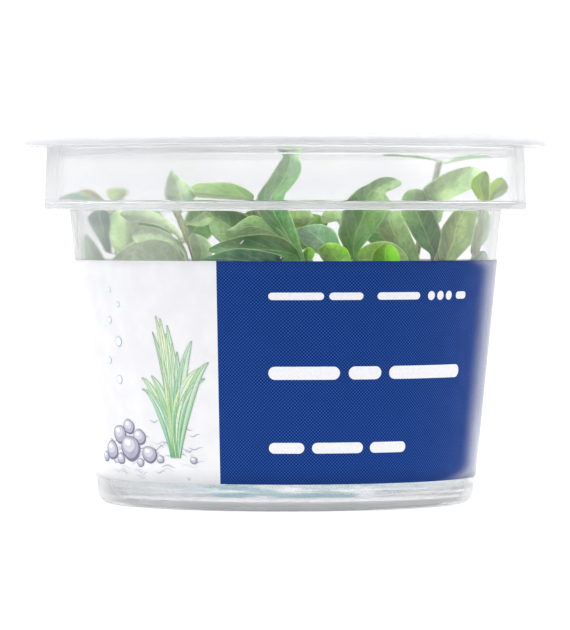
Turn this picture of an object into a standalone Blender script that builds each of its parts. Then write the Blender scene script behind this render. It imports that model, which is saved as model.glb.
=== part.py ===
"""A tissue-culture cup of young hygrophila shoots: a clear round cup with a stepped collar, its lid, a wrap label,
a bed of nutrient gel, and rooted shoots with paired leaves. Metres, +Z up, origin at the centre of the base."""

import math

import bmesh
import bpy
from mathutils import Vector

MM = 0.001

# Driving dimensions of the cup and its lid
LID_RADIUS = 47.5 * MM
TOTAL_HEIGHT = 66.9 * MM
BASE_RADIUS = 34.0 * MM
BODY_SLOPE = 0.0993
WALL = 1.0 * MM
LEDGE_HEIGHT = 53.3 * MM
COLLAR_RADIUS = 43.5 * MM
COLLAR_FLARE = 0.45 * MM
CORNER = 0.6 * MM
TOUCH_GAP = 0.3 * MM
TURN_STEPS = 48

# The base
FOOT_FILLET = 2.6 * MM
STAND_WIDTH = 2.6 * MM
RECESS = 0.5 * MM
FLOOR_TOP = 1.8 * MM

# The cup's lip, and the lid's skirt, rim, panel and plug
SKIRT_HEIGHT = 2.2 * MM
SKIRT_WALL = 0.8 * MM
LIP_THICKNESS = 0.8 * MM
LIP_RADIUS = LID_RADIUS - SKIRT_WALL - 0.4 * MM
RIM_THICKNESS = 1.0 * MM
RIM_ROUND = 0.4 * MM
PANEL_RECESS = 1.3 * MM
PANEL_THICKNESS = 1.2 * MM
PLUG_DEPTH = 1.5 * MM
PLUG_CLEARANCE = 0.4 * MM
PLUG_WALL = 0.9 * MM

# The label
LABEL_TOP = 44.2 * MM
LABEL_BOTTOM = 4.9 * MM
LABEL_GAP = 0.2 * MM
LABEL_THICKNESS = 0.15 * MM
LABEL_OPEN_STEPS = 6

# The nutrient gel
GEL_TOP = 8.5 * MM

# The stems, as paths in millimetres from the gel up. Each is a tube that thins upwards.
STEM_RADIUS = 0.75 * MM
STEM_TIP_RADIUS = 0.5 * MM
STEM_PIECES = 6
STEM_STEP = 0.02
HALVINGS = 24
STEMS = [
    [(-17, -2, 9.2), (-24, -5, 28), (-30.2, -7, 46), (-31.5, -4, 54.5)],
    [(-9, -13, 9.2), (-12.5, -19, 28), (-15.8, -22.5, 44), (-19.6, -18, 53.4)],
    [(-4, -5, 9.2), (-5.5, -9, 30), (-5.4, -13, 54.5)],
    [(3, -16, 9.2), (3.8, -24, 28), (4.6, -27.5, 41), (4.0, -27, 44.6)],
    [(9, -13, 9.2), (12, -23, 28), (12.6, -27, 43)],
    [(16, -8, 9.2), (23, -14, 28), (26.5, -18.5, 42), (28, -17, 49)],
    [(19, 0, 9.2), (28, -3, 28), (34, -6, 44), (35.2, -7.4, 54.2)],
    [(12, 9, 9.2), (20, 9, 30), (28.5, 8, 62.4)],
    [(-1, 14, 9.2), (-1.5, 19, 28), (-1, 22, 47)],
    [(-12, 12, 9.2), (-16, 15, 28), (-20, 17, 48)],
]

# The leaves in millimetres: stem, height on it, tip, width, bow to its face, sweep to its side, the
# direction that its upper face looks to, as degrees from the front to the right and degrees up, and its tint.
LEAF_THICKNESS = 0.45 * MM
LEAF_FOLD = 0.22
LEAF_CELLS = 5
STALK_SHARE = 0.07
WIDEST = 1.35
BLUNTNESS = 0.85
TINTS = {
    "deep": (0.045, 0.15, 0.06),
    "green": (0.08, 0.25, 0.07),
    "teal": (0.12, 0.3, 0.2),
    "sage": (0.3, 0.45, 0.26),
    "olive": (0.24, 0.34, 0.09),
    "lime": (0.3, 0.45, 0.1),
    "bright": (0.1, 0.35, 0.02),
    "tan": (0.34, 0.32, 0.15),
}
LEAVES = [
    # First shoot, at the left wall
    (1, 54.0, (-41.2, -5, 55.2), 5.0, 0.6, 0, -20, 75, "teal"),
    (1, 53.0, (-37.8, 5, 56.8), 3.2, 0.5, 0, 0, 50, "olive"),
    (1, 54.4, (-30.4, 2, 57.2), 4.0, 0.4, 0, 0, 30, "olive"),
    (1, 45.6, (-34.6, -11, 53.0), 3.2, 0.3, 0, -45, 0, "teal"),
    (1, 44.0, (-27.4, -15, 53.0), 6.6, 0.8, 0, -25, 0, "teal"),
    (1, 37.0, (-36.4, -3, 48.5), 6.2, 0.8, 0, -60, 10, "green"),
    # Second shoot, with the stem that shows
    (2, 53.0, (-20.2, -11, 59.6), 4.2, 0.5, 0, -10, 0, "sage"),
    (2, 48.6, (-29.6, -18, 51.4), 6.4, 0.8, 0, -25, 25, "olive"),
    (2, 43.4, (-27.6, -22, 47.6), 8.0, 1.0, 0, -25, 20, "olive"),
    (2, 39.6, (-31.0, -17, 44.0), 8.0, 1.0, 0, -30, 35, "green"),
    (2, 50.6, (-12.2, -19, 51.2), 3.8, 0.4, 0, 10, 10, "lime"),
    (2, 43.2, (-13.8, -24, 49.0), 4.8, 0.5, 0, -5, 0, "olive"),
    # Third shoot, behind the middle
    (3, 54.2, (-16.8, -16, 56.2), 6.4, 0.9, 0, 0, 66, "lime"),
    (3, 46.0, (-13.4, -17, 52.6), 6.5, 0.6, 0, 0, 5, "teal"),
    (3, 49.0, (5.8, -17, 52.4), 4.8, 0.5, 0, 0, 10, "tan"),
    # Fourth shoot, with the tall leaf that reaches the lid
    (4, 44.5, (2.6, -15, 63.4), 5.4, 0.8, -5.4, 0, 0, "teal"),
    (4, 44.2, (-9.8, -20, 50.6), 4.2, 0.4, 0, 0, 15, "tan"),
    (4, 41.6, (-14.2, -25, 46.8), 6.2, 0.8, 0, 0, 10, "deep"),
    (4, 37.2, (-14.8, -31, 43.8), 6.2, 1.2, 0, 0, 20, "deep"),
    (4, 43.4, (4.0, -32, 46.6), 2.8, 0.3, 0, 5, 10, "bright"),
    # Fifth shoot, with the large leaf right of the middle
    (5, 43.0, (20.7, -22, 58.8), 7.8, 1.0, -3.4, 5, 0, "green"),
    (5, 42.2, (4.0, -19.5, 50.6), 6.4, 0.8, 0, 0, 15, "teal"),
    (5, 40.0, (7.6, -33, 46.8), 4.6, 0.5, 0, 5, 10, "green"),
    (5, 39.6, (23.4, -22.5, 44.6), 8.0, 1.4, 0, 15, 35, "green"),
    (5, 41.6, (6.2, -14, 52.6), 4.6, 0.6, 0, 0, 0, "lime"),
    (5, 35.0, (18.4, -31.5, 46.3), 5.0, 0.4, 0, 15, 10, "bright"),
    # Sixth shoot
    (6, 44.0, (22.5, -23, 53.2), 8.0, 0.8, 0, 15, 0, "deep"),
    (6, 42.0, (17.0, -18, 52.5), 6.4, 0.8, 0, 15, 0, "olive"),
    (6, 45.6, (33.8, -11, 52.4), 7.4, 0.8, 0, 40, 5, "olive"),
    (6, 40.0, (35.0, -9, 46.2), 3.8, 0.4, 0, 30, 10, "deep"),
    # Seventh shoot, with the bright pair at the right wall
    (7, 54.0, (34.2, -13, 60.4), 4.4, 0.4, 0, 10, 0, "lime"),
    (7, 54.0, (38.7, -6, 58.6), 4.0, 0.3, 0, 30, 0, "lime"),
    (7, 44.6, (35.2, -1, 52.2), 5.2, 0.6, 0, 60, 5, "sage"),
    (7, 54.0, (39.8, 3, 57.6), 4.0, 0.8, 0, 30, 60, "sage"),
    # Eighth shoot, with the leaf under the lid
    (8, 62.2, (38.2, 9, 63.0), 6.0, 0.3, 0, 0, 85, "teal"),
    (8, 62.2, (18.0, 10, 63.4), 4.6, 0.2, 0, 0, 85, "teal"),
    (8, 50.0, (22.4, 4, 57.2), 6.0, 0.8, 0, 0, 10, "sage"),
    (8, 51.0, (34.4, 4, 61.2), 8.6, 1.0, 0, 10, 10, "sage"),
    (8, 44.0, (14.0, 14, 51.0), 6.0, 0.8, 0, 0, 40, "green"),
    # Ninth shoot, at the back
    (9, 46.4, (-8.0, 30, 52.6), 6.6, 0.8, 0, 170, 20, "green"),
    (9, 46.4, (8.0, 28, 51.4), 6.6, 0.8, 0, 190, 20, "olive"),
    (9, 36.0, (-7.5, 32, 40.0), 7.0, 0.8, 0, 180, 40, "deep"),
    # Tenth shoot, at the back left
    (10, 47.4, (-29.0, 21, 52.6), 6.6, 0.8, 0, 200, 40, "green"),
    (10, 47.4, (-13.0, 26, 53.6), 6.6, 0.8, 0, 170, 20, "sage"),
    (10, 34.0, (-26.0, 22, 39.0), 7.0, 0.8, 0, 200, 40, "deep"),
]

LID_BOTTOM = TOTAL_HEIGHT - SKIRT_HEIGHT
RIM_UNDER = TOTAL_HEIGHT - RIM_THICKNESS
LIP_TOP = RIM_UNDER - TOUCH_GAP
PANEL_TOP = TOTAL_HEIGHT - PANEL_RECESS
PANEL_UNDER = PANEL_TOP - PANEL_THICKNESS
COLLAR_FOOT = COLLAR_RADIUS + COLLAR_FLARE


def body_radius(z):
    """Outer radius of the cup's tapered body at height z."""
    return BASE_RADIUS + BODY_SLOPE * z


def arc(centre_r, centre_z, radius, start_deg, end_deg, pieces):
    """Points (r, z) along an arc of a profile."""
    points = []
    for i in range(pieces + 1):
        angle = math.radians(start_deg + (end_deg - start_deg) * i / pieces)
        points.append((centre_r + radius * math.cos(angle), centre_z + radius * math.sin(angle)))
    return points


def clear_scene():
    for obj in list(bpy.data.objects):
        bpy.data.objects.remove(obj, do_unlink=True)


def collection(name):
    made = bpy.data.collections.new(name)
    bpy.context.scene.collection.children.link(made)
    return made


def material(name, colour, roughness, alpha=1.0, transmission=0.0):
    made = bpy.data.materials.new(name)
    made.use_nodes = True
    shader = made.node_tree.nodes["Principled BSDF"]
    shader.inputs["Base Color"].default_value = (*colour, 1.0)
    shader.inputs["Roughness"].default_value = roughness
    shader.inputs["Metallic"].default_value = 0.0
    shader.inputs["Alpha"].default_value = alpha
    shader.inputs["Transmission Weight"].default_value = transmission
    return made


def turned(name, profile, into, finish, degrees=360.0, steps=TURN_STEPS):
    """A profile of (r, z) points turned about Z. It runs down its outer side."""
    mesh = bpy.data.meshes.new(name)
    mesh.from_pydata([(r, 0.0, z) for r, z in profile], [(i, i + 1) for i in range(len(profile) - 1)], [])
    obj = bpy.data.objects.new(name, mesh)
    into.objects.link(obj)
    screw = obj.modifiers.new("turn", "SCREW")
    screw.axis = "Z"
    screw.angle = math.radians(degrees)
    screw.steps = screw.render_steps = steps
    screw.use_merge_vertices = True
    screw.merge_threshold = 0.00001
    screw.use_smooth_shade = True
    mesh.materials.append(finish)
    return obj


def make_cup(into, finish):
    """One moulded piece: floor, tapered body, ledge, collar and an outward lip under the lid."""
    inner_fillet = FOOT_FILLET - WALL
    corner_z = FLOOR_TOP + inner_fillet
    ledge_top = LEDGE_HEIGHT + WALL
    profile = [(0.0, FLOOR_TOP)]
    profile += arc(body_radius(corner_z) - WALL - inner_fillet, corner_z, inner_fillet, -90, 0, 2)
    profile += [
        (body_radius(LEDGE_HEIGHT) - WALL, ledge_top - TOUCH_GAP),
        (body_radius(LEDGE_HEIGHT) - WALL + TOUCH_GAP, ledge_top),
        (COLLAR_FOOT - WALL, ledge_top),
        (COLLAR_RADIUS - WALL, LIP_TOP),
        (LIP_RADIUS, LIP_TOP),
        (LIP_RADIUS, LIP_TOP - LIP_THICKNESS),
        (COLLAR_RADIUS, LIP_TOP - LIP_THICKNESS),
        (COLLAR_FOOT, LEDGE_HEIGHT + CORNER),
        (COLLAR_FOOT - CORNER, LEDGE_HEIGHT),
        (body_radius(LEDGE_HEIGHT), LEDGE_HEIGHT),
    ]
    foot_centre = body_radius(FOOT_FILLET) - FOOT_FILLET
    profile += arc(foot_centre, FOOT_FILLET, FOOT_FILLET, 0, -90, 3)
    profile += [
        (foot_centre - STAND_WIDTH, 0.0),
        (foot_centre - STAND_WIDTH - RECESS, RECESS),
        (0.0, RECESS),
    ]
    return turned("cup", profile, into, finish)


def make_lid(into, finish):
    """A recessed panel inside a raised rim, with a skirt round the cup's lip and a plug inside its collar."""
    plug_outer = COLLAR_RADIUS - WALL - PLUG_CLEARANCE
    plug_inner = plug_outer - PLUG_WALL
    profile = [
        (0.0, PANEL_TOP),
        (plug_inner - PLUG_WALL, PANEL_TOP),
        (plug_inner, TOTAL_HEIGHT),
        (LID_RADIUS - RIM_ROUND, TOTAL_HEIGHT),
        (LID_RADIUS, TOTAL_HEIGHT - RIM_ROUND),
        (LID_RADIUS, LID_BOTTOM),
        (LID_RADIUS - SKIRT_WALL, LID_BOTTOM),
        (LID_RADIUS - SKIRT_WALL, RIM_UNDER),
        (plug_outer, RIM_UNDER),
        (plug_outer, PANEL_UNDER - PLUG_DEPTH),
        (plug_inner, PANEL_UNDER - PLUG_DEPTH),
        (plug_inner, PANEL_UNDER),
        (0.0, PANEL_UNDER),
    ]
    return turned("lid", profile, into, finish)


def make_label(into, finish):
    """A printed strip round the body, open for a few steps at the back."""
    steps = TURN_STEPS - LABEL_OPEN_STEPS
    off = LABEL_GAP + LABEL_THICKNESS / 2
    profile = [
        (body_radius(LABEL_TOP) + off, LABEL_TOP),
        (body_radius(LABEL_BOTTOM) + off, LABEL_BOTTOM),
    ]
    degrees = 360.0 * steps / TURN_STEPS
    label = turned("label", profile, into, finish, degrees, steps)
    label.rotation_euler.z = math.radians(90 + (360 - degrees) / 2)
    solidify = label.modifiers.new("thickness", "SOLIDIFY")
    solidify.thickness = LABEL_THICKNESS
    solidify.offset = 0.0
    return label


def make_gel(into, finish):
    """The nutrient gel on the cup's floor."""
    corner = FOOT_FILLET - WALL
    side = -WALL - TOUCH_GAP
    bottom = FLOOR_TOP + TOUCH_GAP
    profile = [(0.0, GEL_TOP), (body_radius(GEL_TOP) + side, GEL_TOP)]
    profile += arc(body_radius(bottom + corner) + side - corner, bottom + corner, corner, 0, -90, 2)
    profile += [(0.0, bottom)]
    return turned("gel", profile, into, finish)


def along(path, t):
    """Point at 0..1 on the smooth curve through a stem's points."""
    points = [Vector(p) * MM for p in path]
    spans = len(points) - 1
    span = max(0, min(int(t * spans), spans - 1))
    u = t * spans - span
    before = points[max(span - 1, 0)]
    start, end = points[span], points[span + 1]
    after = points[min(span + 2, spans)]
    slope_in = (end - before) / 2
    slope_out = (after - start) / 2
    return (start * (2 * u ** 3 - 3 * u ** 2 + 1) + slope_in * (u ** 3 - 2 * u ** 2 + u)
            + end * (3 * u ** 2 - 2 * u ** 3) + slope_out * (u ** 3 - u ** 2))


def at_height(path, z):
    """How far along a stem, from 0 to 1, the height z lies, by halving."""
    low, high = 0.0, 1.0
    for _ in range(HALVINGS):
        middle = (low + high) / 2
        if along(path, middle).z < z:
            low = middle
        else:
            high = middle
    return low


def stem_radius(t):
    return STEM_RADIUS + t * (STEM_TIP_RADIUS - STEM_RADIUS)


def leaf_base(path, z, tip):
    """Start of a leaf beside its stem at height z, on the side that the leaf goes to."""
    t = at_height(path, z)
    foot = along(path, t)
    up = (along(path, t + STEM_STEP) - along(path, t - STEM_STEP)).normalized()
    outward = tip - foot
    sideways = (outward - up * outward.dot(up)).normalized()
    return foot + sideways * (stem_radius(t) + TOUCH_GAP + LEAF_THICKNESS)


def make_stem(number, path, into, finish):
    name = f"stem_{number:02d}"
    curve = bpy.data.curves.new(name, "CURVE")
    curve.dimensions = "3D"
    curve.bevel_depth = STEM_RADIUS
    curve.bevel_resolution = 1
    curve.use_fill_caps = True
    spline = curve.splines.new("POLY")
    spline.points.add(STEM_PIECES)
    for i, point in enumerate(spline.points):
        t = i / STEM_PIECES
        point.co = (*along(path, t), 1.0)
        point.radius = stem_radius(t) / STEM_RADIUS
    curve.materials.append(finish)
    stem = bpy.data.objects.new(name, curve)
    into.objects.link(stem)
    return stem


def facing(azimuth, elevation):
    """Unit vector for degrees round from the front and degrees up."""
    around, up = math.radians(azimuth), math.radians(elevation)
    return Vector((math.sin(around) * math.cos(up), -math.cos(around) * math.cos(up), math.sin(up)))


def half_width(t):
    """Outline of a spatulate leaf, 0 to 1, widest past the middle, narrowing to a short stalk."""
    blade = max(0.0, math.sin(math.pi * t ** WIDEST)) ** BLUNTNESS
    return STALK_SHARE + (1 - STALK_SHARE) * blade


def leaf_point(base, tip, width, bow, sweep, face, t, v):
    """Point on a leaf at t along its midrib and v from -1 to 1 across."""
    length = (tip - base).length
    axis = (tip - base) / length
    normal = (face - axis * face.dot(axis)).normalized()
    side = axis.cross(normal)
    hump = 4 * t * (1 - t)
    reach = half_width(t) * width / 2
    return (base + axis * length * t + normal * (bow * hump + abs(v) * reach * LEAF_FOLD)
            + side * (sweep * hump + v * reach))


def make_leaf(number, row, into, finishes):
    """A grid laid along the midrib, folded lightly, and thickened."""
    stem, height, tip, width, bow, sweep, azimuth, elevation, tint = row
    name = f"leaf_{number:02d}"
    tip = Vector(tip) * MM
    base = leaf_base(STEMS[stem - 1], height * MM, tip)
    face = facing(azimuth, elevation)
    mesh = bpy.data.meshes.new(name)
    grid = bmesh.new()
    bmesh.ops.create_grid(grid, x_segments=LEAF_CELLS, y_segments=2, size=1.0)
    for vert in grid.verts:
        t, v = (vert.co.x + 1) / 2, vert.co.y
        vert.co = leaf_point(base, tip, width * MM, bow * MM, sweep * MM, face, t, v)
    grid.to_mesh(mesh)
    grid.free()
    mesh.materials.append(finishes[tint])
    leaf = bpy.data.objects.new(name, mesh)
    into.objects.link(leaf)
    solidify = leaf.modifiers.new("thickness", "SOLIDIFY")
    solidify.thickness = LEAF_THICKNESS
    solidify.offset = 0.0
    return leaf


def main():
    clear_scene()
    parts = collection("culture_cup_of_hygrophila")
    clear_plastic = material("clear_plastic", (0.93, 0.95, 0.97), 0.12, 0.3, 0.9)
    lid_plastic = material("lid_plastic", (0.92, 0.94, 0.97), 0.18, 0.3, 0.9)
    printed_film = material("printed_film", (0.03, 0.1, 0.42), 0.35)
    gel = material("gel", (0.85, 0.88, 0.82), 0.1, 0.5, 0.9)
    stem = material("stem", (0.33, 0.22, 0.16), 0.5)
    leaves = {name: material(f"leaf_{name}", colour, 0.45) for name, colour in TINTS.items()}
    make_cup(parts, clear_plastic)
    make_lid(parts, lid_plastic)
    make_label(parts, printed_film)
    make_gel(parts, gel)
    for number, path in enumerate(STEMS, start=1):
        make_stem(number, path, parts, stem)
    for number, row in enumerate(LEAVES, start=1):
        make_leaf(number, row, parts, leaves)


main()
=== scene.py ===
import math
import random

import bmesh
import bpy
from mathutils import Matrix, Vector, noise


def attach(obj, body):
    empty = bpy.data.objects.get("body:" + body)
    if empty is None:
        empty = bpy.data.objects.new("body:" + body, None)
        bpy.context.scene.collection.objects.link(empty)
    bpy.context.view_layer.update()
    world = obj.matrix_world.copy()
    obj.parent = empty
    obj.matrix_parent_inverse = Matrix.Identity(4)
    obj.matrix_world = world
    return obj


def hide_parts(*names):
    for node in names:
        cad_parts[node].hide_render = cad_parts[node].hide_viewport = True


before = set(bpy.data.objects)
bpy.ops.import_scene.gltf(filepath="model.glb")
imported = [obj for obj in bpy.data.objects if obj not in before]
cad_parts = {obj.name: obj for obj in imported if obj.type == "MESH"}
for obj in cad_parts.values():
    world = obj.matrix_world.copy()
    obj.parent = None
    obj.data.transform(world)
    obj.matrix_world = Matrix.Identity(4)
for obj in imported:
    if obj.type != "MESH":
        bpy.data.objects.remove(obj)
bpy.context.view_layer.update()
MM = 0.001

# The camera stands where the photograph was taken. Places in its frame are in pixels.
FRAME_WIDE, FRAME_HIGH = 570, 630
AXIS_X, HORIZON_Y, FOCAL_PIXELS = 285.5, 220.0, 5000.0
SENSOR = 36.0
EYE = Vector((0.0, -912.0, 51.4)) * MM

# The cup, lid, label and gel, in millimetres as in the CAD source
LID_RADIUS, TOTAL_HEIGHT = 47.5, 66.9
BASE_RADIUS, BODY_SLOPE, WALL = 34.0, 0.0993, 1.0
LEDGE_HEIGHT, COLLAR_RADIUS, COLLAR_FLARE = 53.3, 43.5, 0.45
FOOT_FILLET, STAND_WIDTH, RECESS, FLOOR_TOP = 2.6, 2.6, 0.5, 1.8
SKIRT_HEIGHT, SKIRT_WALL, SKIRT_CLEARANCE, LIP_THICKNESS = 2.2, 0.8, 0.4, 0.8
RIM_THICKNESS, PANEL_RECESS, PANEL_THICKNESS = 1.0, 1.3, 1.2
PLUG_DEPTH, PLUG_CLEARANCE, PLUG_WALL, TOUCH_GAP = 1.5, 0.4, 0.9, 0.3
LABEL_TOP, LABEL_BOTTOM, LABEL_OPEN = 44.2, 4.9, 45.0
GEL_TOP = 8.5

# Details that the solids don't have: the moulding point under the cup, the mark and ring on the lid, the
# gel's play in the cup, its dip inside the meniscus and its uneven top
GATE_RADIUS, GATE_DEPTH = 1.6, 0.25
MARK_RADIUS, MARK_HEIGHT, MARK_SLOPE = 1.5, 0.2, 0.3
RING_INNER, RING_OUTER, RING_HEIGHT, RING_SLOPE = 18.0, 19.0, 0.18, 0.25
GEL_PLAY, GEL_DIP, GEL_UNEVEN = 0.06, 0.35, 0.25
TURN_STEPS, GEL_STEPS = 192, 96

# The two plastics. A veil lists heights from the foot up, each with the milky share there.
CUP_TINT, LID_TINT = (0.935, 0.934, 0.95), (0.993, 0.993, 0.997)
LID_TINT_FROM, LID_TINT_TO = 58.5, 62.5
CUP_VEIL = ((1.0, 0.15), (7.0, 0.01), (53.25, 0.01), (53.5, 0.5), (54.2, 0.5), (54.45, 0.03), (58.0, 0.05),
            (64.0, 0.08))
LID_VEIL = ((62.0, 0.04), (64.4, 0.05), (65.0, 0.32), (66.6, 0.7))
LID_CLEAR_RADIUS = 40.0
MIST_LEFT, MIST_RIGHT, MIST_DEPTH = -26.0, -8.0, 10.0

# The gel's painted shade, soft teal streaks for the plants' shade seen refracted through the foot: full up to
# one height and gone at the next, and the same outwards from their middle
PAINTED_SHADE_FULL, PAINTED_SHADE_GONE = 3.2, 5.8
PAINTED_SHADE_MIDDLE, PAINTED_SHADE_NEAR, PAINTED_SHADE_FAR = 1.0, 10.0, 26.0

# The stems' points, from just over the gel up. A leaf's stalk is a share of its width, and the power says
# where the leaf is widest.
STEM_RADIUS, STEM_TIP_RADIUS = 0.75, 0.5
LEAF_THICKNESS, STALK_SHARE, WIDEST_POWER = 0.45, 0.07, 1.35
STEMS = [
    [(-17, -2, 9.2), (-24, -5, 28), (-30.2, -7, 46), (-31.5, -4, 54.5)],
    [(-9, -13, 9.2), (-12.5, -19, 28), (-15.8, -22.5, 44), (-19.6, -18, 53.4)],
    [(-4, -5, 9.2), (-5.5, -9, 30), (-5.4, -13, 54.5)],
    [(3, -16, 9.2), (3.8, -24, 28), (4.6, -27.5, 41), (4.0, -27, 44.6)],
    [(9, -13, 9.2), (12, -23, 28), (12.6, -27, 43)],
    [(16, -8, 9.2), (23, -14, 28), (26.5, -18.5, 42), (28, -17, 49)],
    [(19, 0, 9.2), (28, -3, 28), (34, -6, 44), (35.2, -7.4, 54.2)],
    [(12, 9, 9.2), (20, 9, 30), (28.5, 8, 62.4)],
    [(-1, 14, 9.2), (-1.5, 19, 28), (-1, 22, 47)],
    [(-12, 12, 9.2), (-16, 15, 28), (-20, 17, 48)],
]

# Tones of the leaves, stems and roots
TONES = {
    "dark": (0.025, 0.12, 0.075),
    "deep": (0.065, 0.22, 0.055),
    "green": (0.12, 0.32, 0.07),
    "mid": (0.24, 0.38, 0.15),
    "teal": (0.2, 0.37, 0.23),
    "slate": (0.13, 0.22, 0.21),
    "sage": (0.36, 0.46, 0.28),
    "mist": (0.48, 0.56, 0.43),
    "haze": (0.6, 0.64, 0.5),
    "wan": (0.56, 0.62, 0.42),
    "olive": (0.34, 0.43, 0.14),
    "lime": (0.5, 0.68, 0.09),
    "glow": (0.38, 0.6, 0.0),
    "fern": (0.32, 0.49, 0.32),
    "ash": (0.34, 0.44, 0.34),
    "moss": (0.32, 0.42, 0.02),
    "bright": (0.24, 0.6, 0.0),
    "tan": (0.46, 0.4, 0.2),
    "sand": (0.5, 0.48, 0.34),
    "pale": (0.48, 0.56, 0.28),
    "rose": (0.6, 0.43, 0.32),
}

# The leaves: stem, height on it, tip, width, bow, sweep, azimuth and elevation of the upper face, then the
# tones of stalk end, tip and edge. Lengths in millimetres, as in the CAD source.
LEAVES = [
    (1, 54.0, (-41.2, -5, 55.2), 5.0, 0.6, 0, -20, 75, "teal", "slate", "teal"),
    (1, 53.0, (-37.8, 5, 56.8), 3.2, 0.5, 0, 0, 50, "olive", "tan", "olive"),
    (1, 54.4, (-30.4, 2, 57.2), 4.0, 0.4, 0, 0, 30, "olive", "olive", "pale"),
    (1, 45.6, (-34.6, -11, 53.0), 3.2, 0.3, 0, -45, 0, "slate", "slate", "mist"),
    (1, 44.0, (-27.4, -15, 53.0), 6.6, 0.8, 0, -25, 0, "wan", "haze", "mist"),
    (1, 37.0, (-36.4, -3, 48.5), 6.2, 0.8, 0, -60, 10, "mid", "teal", "teal"),
    (2, 53.0, (-20.2, -11, 59.6), 4.2, 0.5, 0, -10, 0, "mist", "haze", "haze"),
    (2, 48.6, (-29.6, -18, 51.4), 6.4, 0.8, 0, -25, 25, "haze", "haze", "haze"),
    (2, 43.4, (-27.6, -22, 47.6), 8.0, 1.0, 0, -25, 20, "haze", "haze", "haze"),
    (2, 39.6, (-31.0, -17, 44.0), 8.0, 1.0, 0, -30, 35, "haze", "haze", "haze"),
    (2, 50.6, (-12.2, -19, 51.2), 3.8, 0.4, 0, 10, 10, "haze", "wan", "pale"),
    (2, 43.2, (-13.8, -24, 49.0), 4.8, 0.5, 0, -5, 0, "haze", "haze", "haze"),
    (3, 54.2, (-16.8, -16, 56.2), 6.4, 0.9, 0, 0, 66, "mid", "pale", "olive"),
    (3, 46.0, (-13.4, -17, 52.6), 6.5, 0.6, 0, 0, 5, "sage", "mist", "sand"),
    (3, 49.0, (5.8, -17, 52.4), 4.8, 0.5, 0, 0, 10, "olive", "haze", "sand"),
    (4, 44.5, (2.6, -15, 63.4), 5.4, 0.8, -5.4, 0, 0, "green", "mist", "mist"),
    (4, 44.2, (-9.8, -20, 50.6), 4.2, 0.4, 0, 0, 15, "mid", "wan", "sand"),
    (4, 41.6, (-14.2, -25, 46.8), 6.2, 0.8, 0, 0, 10, "green", "fern", "tan"),
    (4, 37.2, (-14.8, -31, 43.8), 6.2, 1.2, 0, 0, 20, "dark", "fern", "mist"),
    (4, 43.4, (4.0, -32, 46.6), 2.8, 0.3, 0, 5, 10, "fern", "lime", "lime"),
    (5, 43.0, (20.7, -22, 58.8), 7.8, 1.0, -3.4, 5, 0, "mid", "haze", "sage"),
    (5, 42.2, (4.0, -19.5, 50.6), 6.4, 0.8, 0, 0, 15, "fern", "ash", "mist"),
    (5, 40.0, (7.6, -33, 46.8), 4.6, 0.5, 0, 5, 10, "mist", "lime", "lime"),
    (5, 39.6, (23.4, -22.5, 44.6), 8.0, 1.4, 0, 15, 35, "olive", "olive", "pale"),
    (5, 41.6, (6.2, -14, 52.6), 4.6, 0.6, 0, 0, 0, "olive", "haze", "lime"),
    (5, 35.0, (18.4, -31.5, 46.3), 5.0, 0.4, 0, 15, 10, "bright", "glow", "lime"),
    (6, 44.0, (22.5, -23, 53.2), 8.0, 0.8, 0, 15, 0, "deep", "mid", "mid"),
    (6, 42.0, (17.0, -18, 52.5), 6.4, 0.8, 0, 15, 0, "mid", "wan", "tan"),
    (6, 45.6, (33.8, -11, 52.4), 7.4, 0.8, 0, 40, 5, "olive", "olive", "pale"),
    (6, 40.0, (35.0, -9, 46.2), 3.8, 0.4, 0, 30, 10, "deep", "deep", "teal"),
    (7, 54.0, (34.2, -13, 60.4), 4.4, 0.4, 0, 10, 0, "moss", "moss", "lime"),
    (7, 54.0, (38.7, -6, 58.6), 4.0, 0.3, 0, 30, 0, "moss", "moss", "lime"),
    (7, 44.6, (35.2, -1, 52.2), 5.2, 0.6, 0, 60, 5, "sage", "sage", "pale"),
    (7, 54.0, (39.8, 3, 57.6), 4.0, 0.8, 0, 30, 60, "sage", "sage", "sage"),
    (8, 62.2, (38.2, 9, 63.0), 6.0, 0.3, 0, 0, 85, "mist", "ash", "mist"),
    (8, 62.2, (18.0, 10, 63.4), 4.6, 0.2, 0, 0, 85, "mist", "ash", "mist"),
    (8, 50.0, (22.4, 4, 57.2), 6.0, 0.8, 0, 0, 10, "sage", "haze", "sage"),
    (8, 51.0, (34.4, 4, 61.2), 8.6, 1.0, 0, 10, 10, "wan", "haze", "mist"),
    (8, 44.0, (14.0, 14, 51.0), 6.0, 0.8, 0, 0, 40, "green", "green", "mid"),
    (9, 46.4, (-8.0, 30, 52.6), 6.6, 0.8, 0, 170, 20, "green", "mid", "mid"),
    (9, 46.4, (8.0, 28, 51.4), 6.6, 0.8, 0, 190, 20, "olive", "mid", "pale"),
    (9, 36.0, (-7.5, 32, 40.0), 7.0, 0.8, 0, 180, 40, "deep", "green", "mid"),
    (10, 47.4, (-29.0, 21, 52.6), 6.6, 0.8, 0, 200, 40, "green", "mid", "mid"),
    (10, 47.4, (-13.0, 26, 53.6), 6.6, 0.8, 0, 170, 20, "mid", "sage", "sage"),
    (10, 34.0, (-26.0, 22, 39.0), 7.0, 0.8, 0, 200, 40, "deep", "green", "mid"),
]

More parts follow.
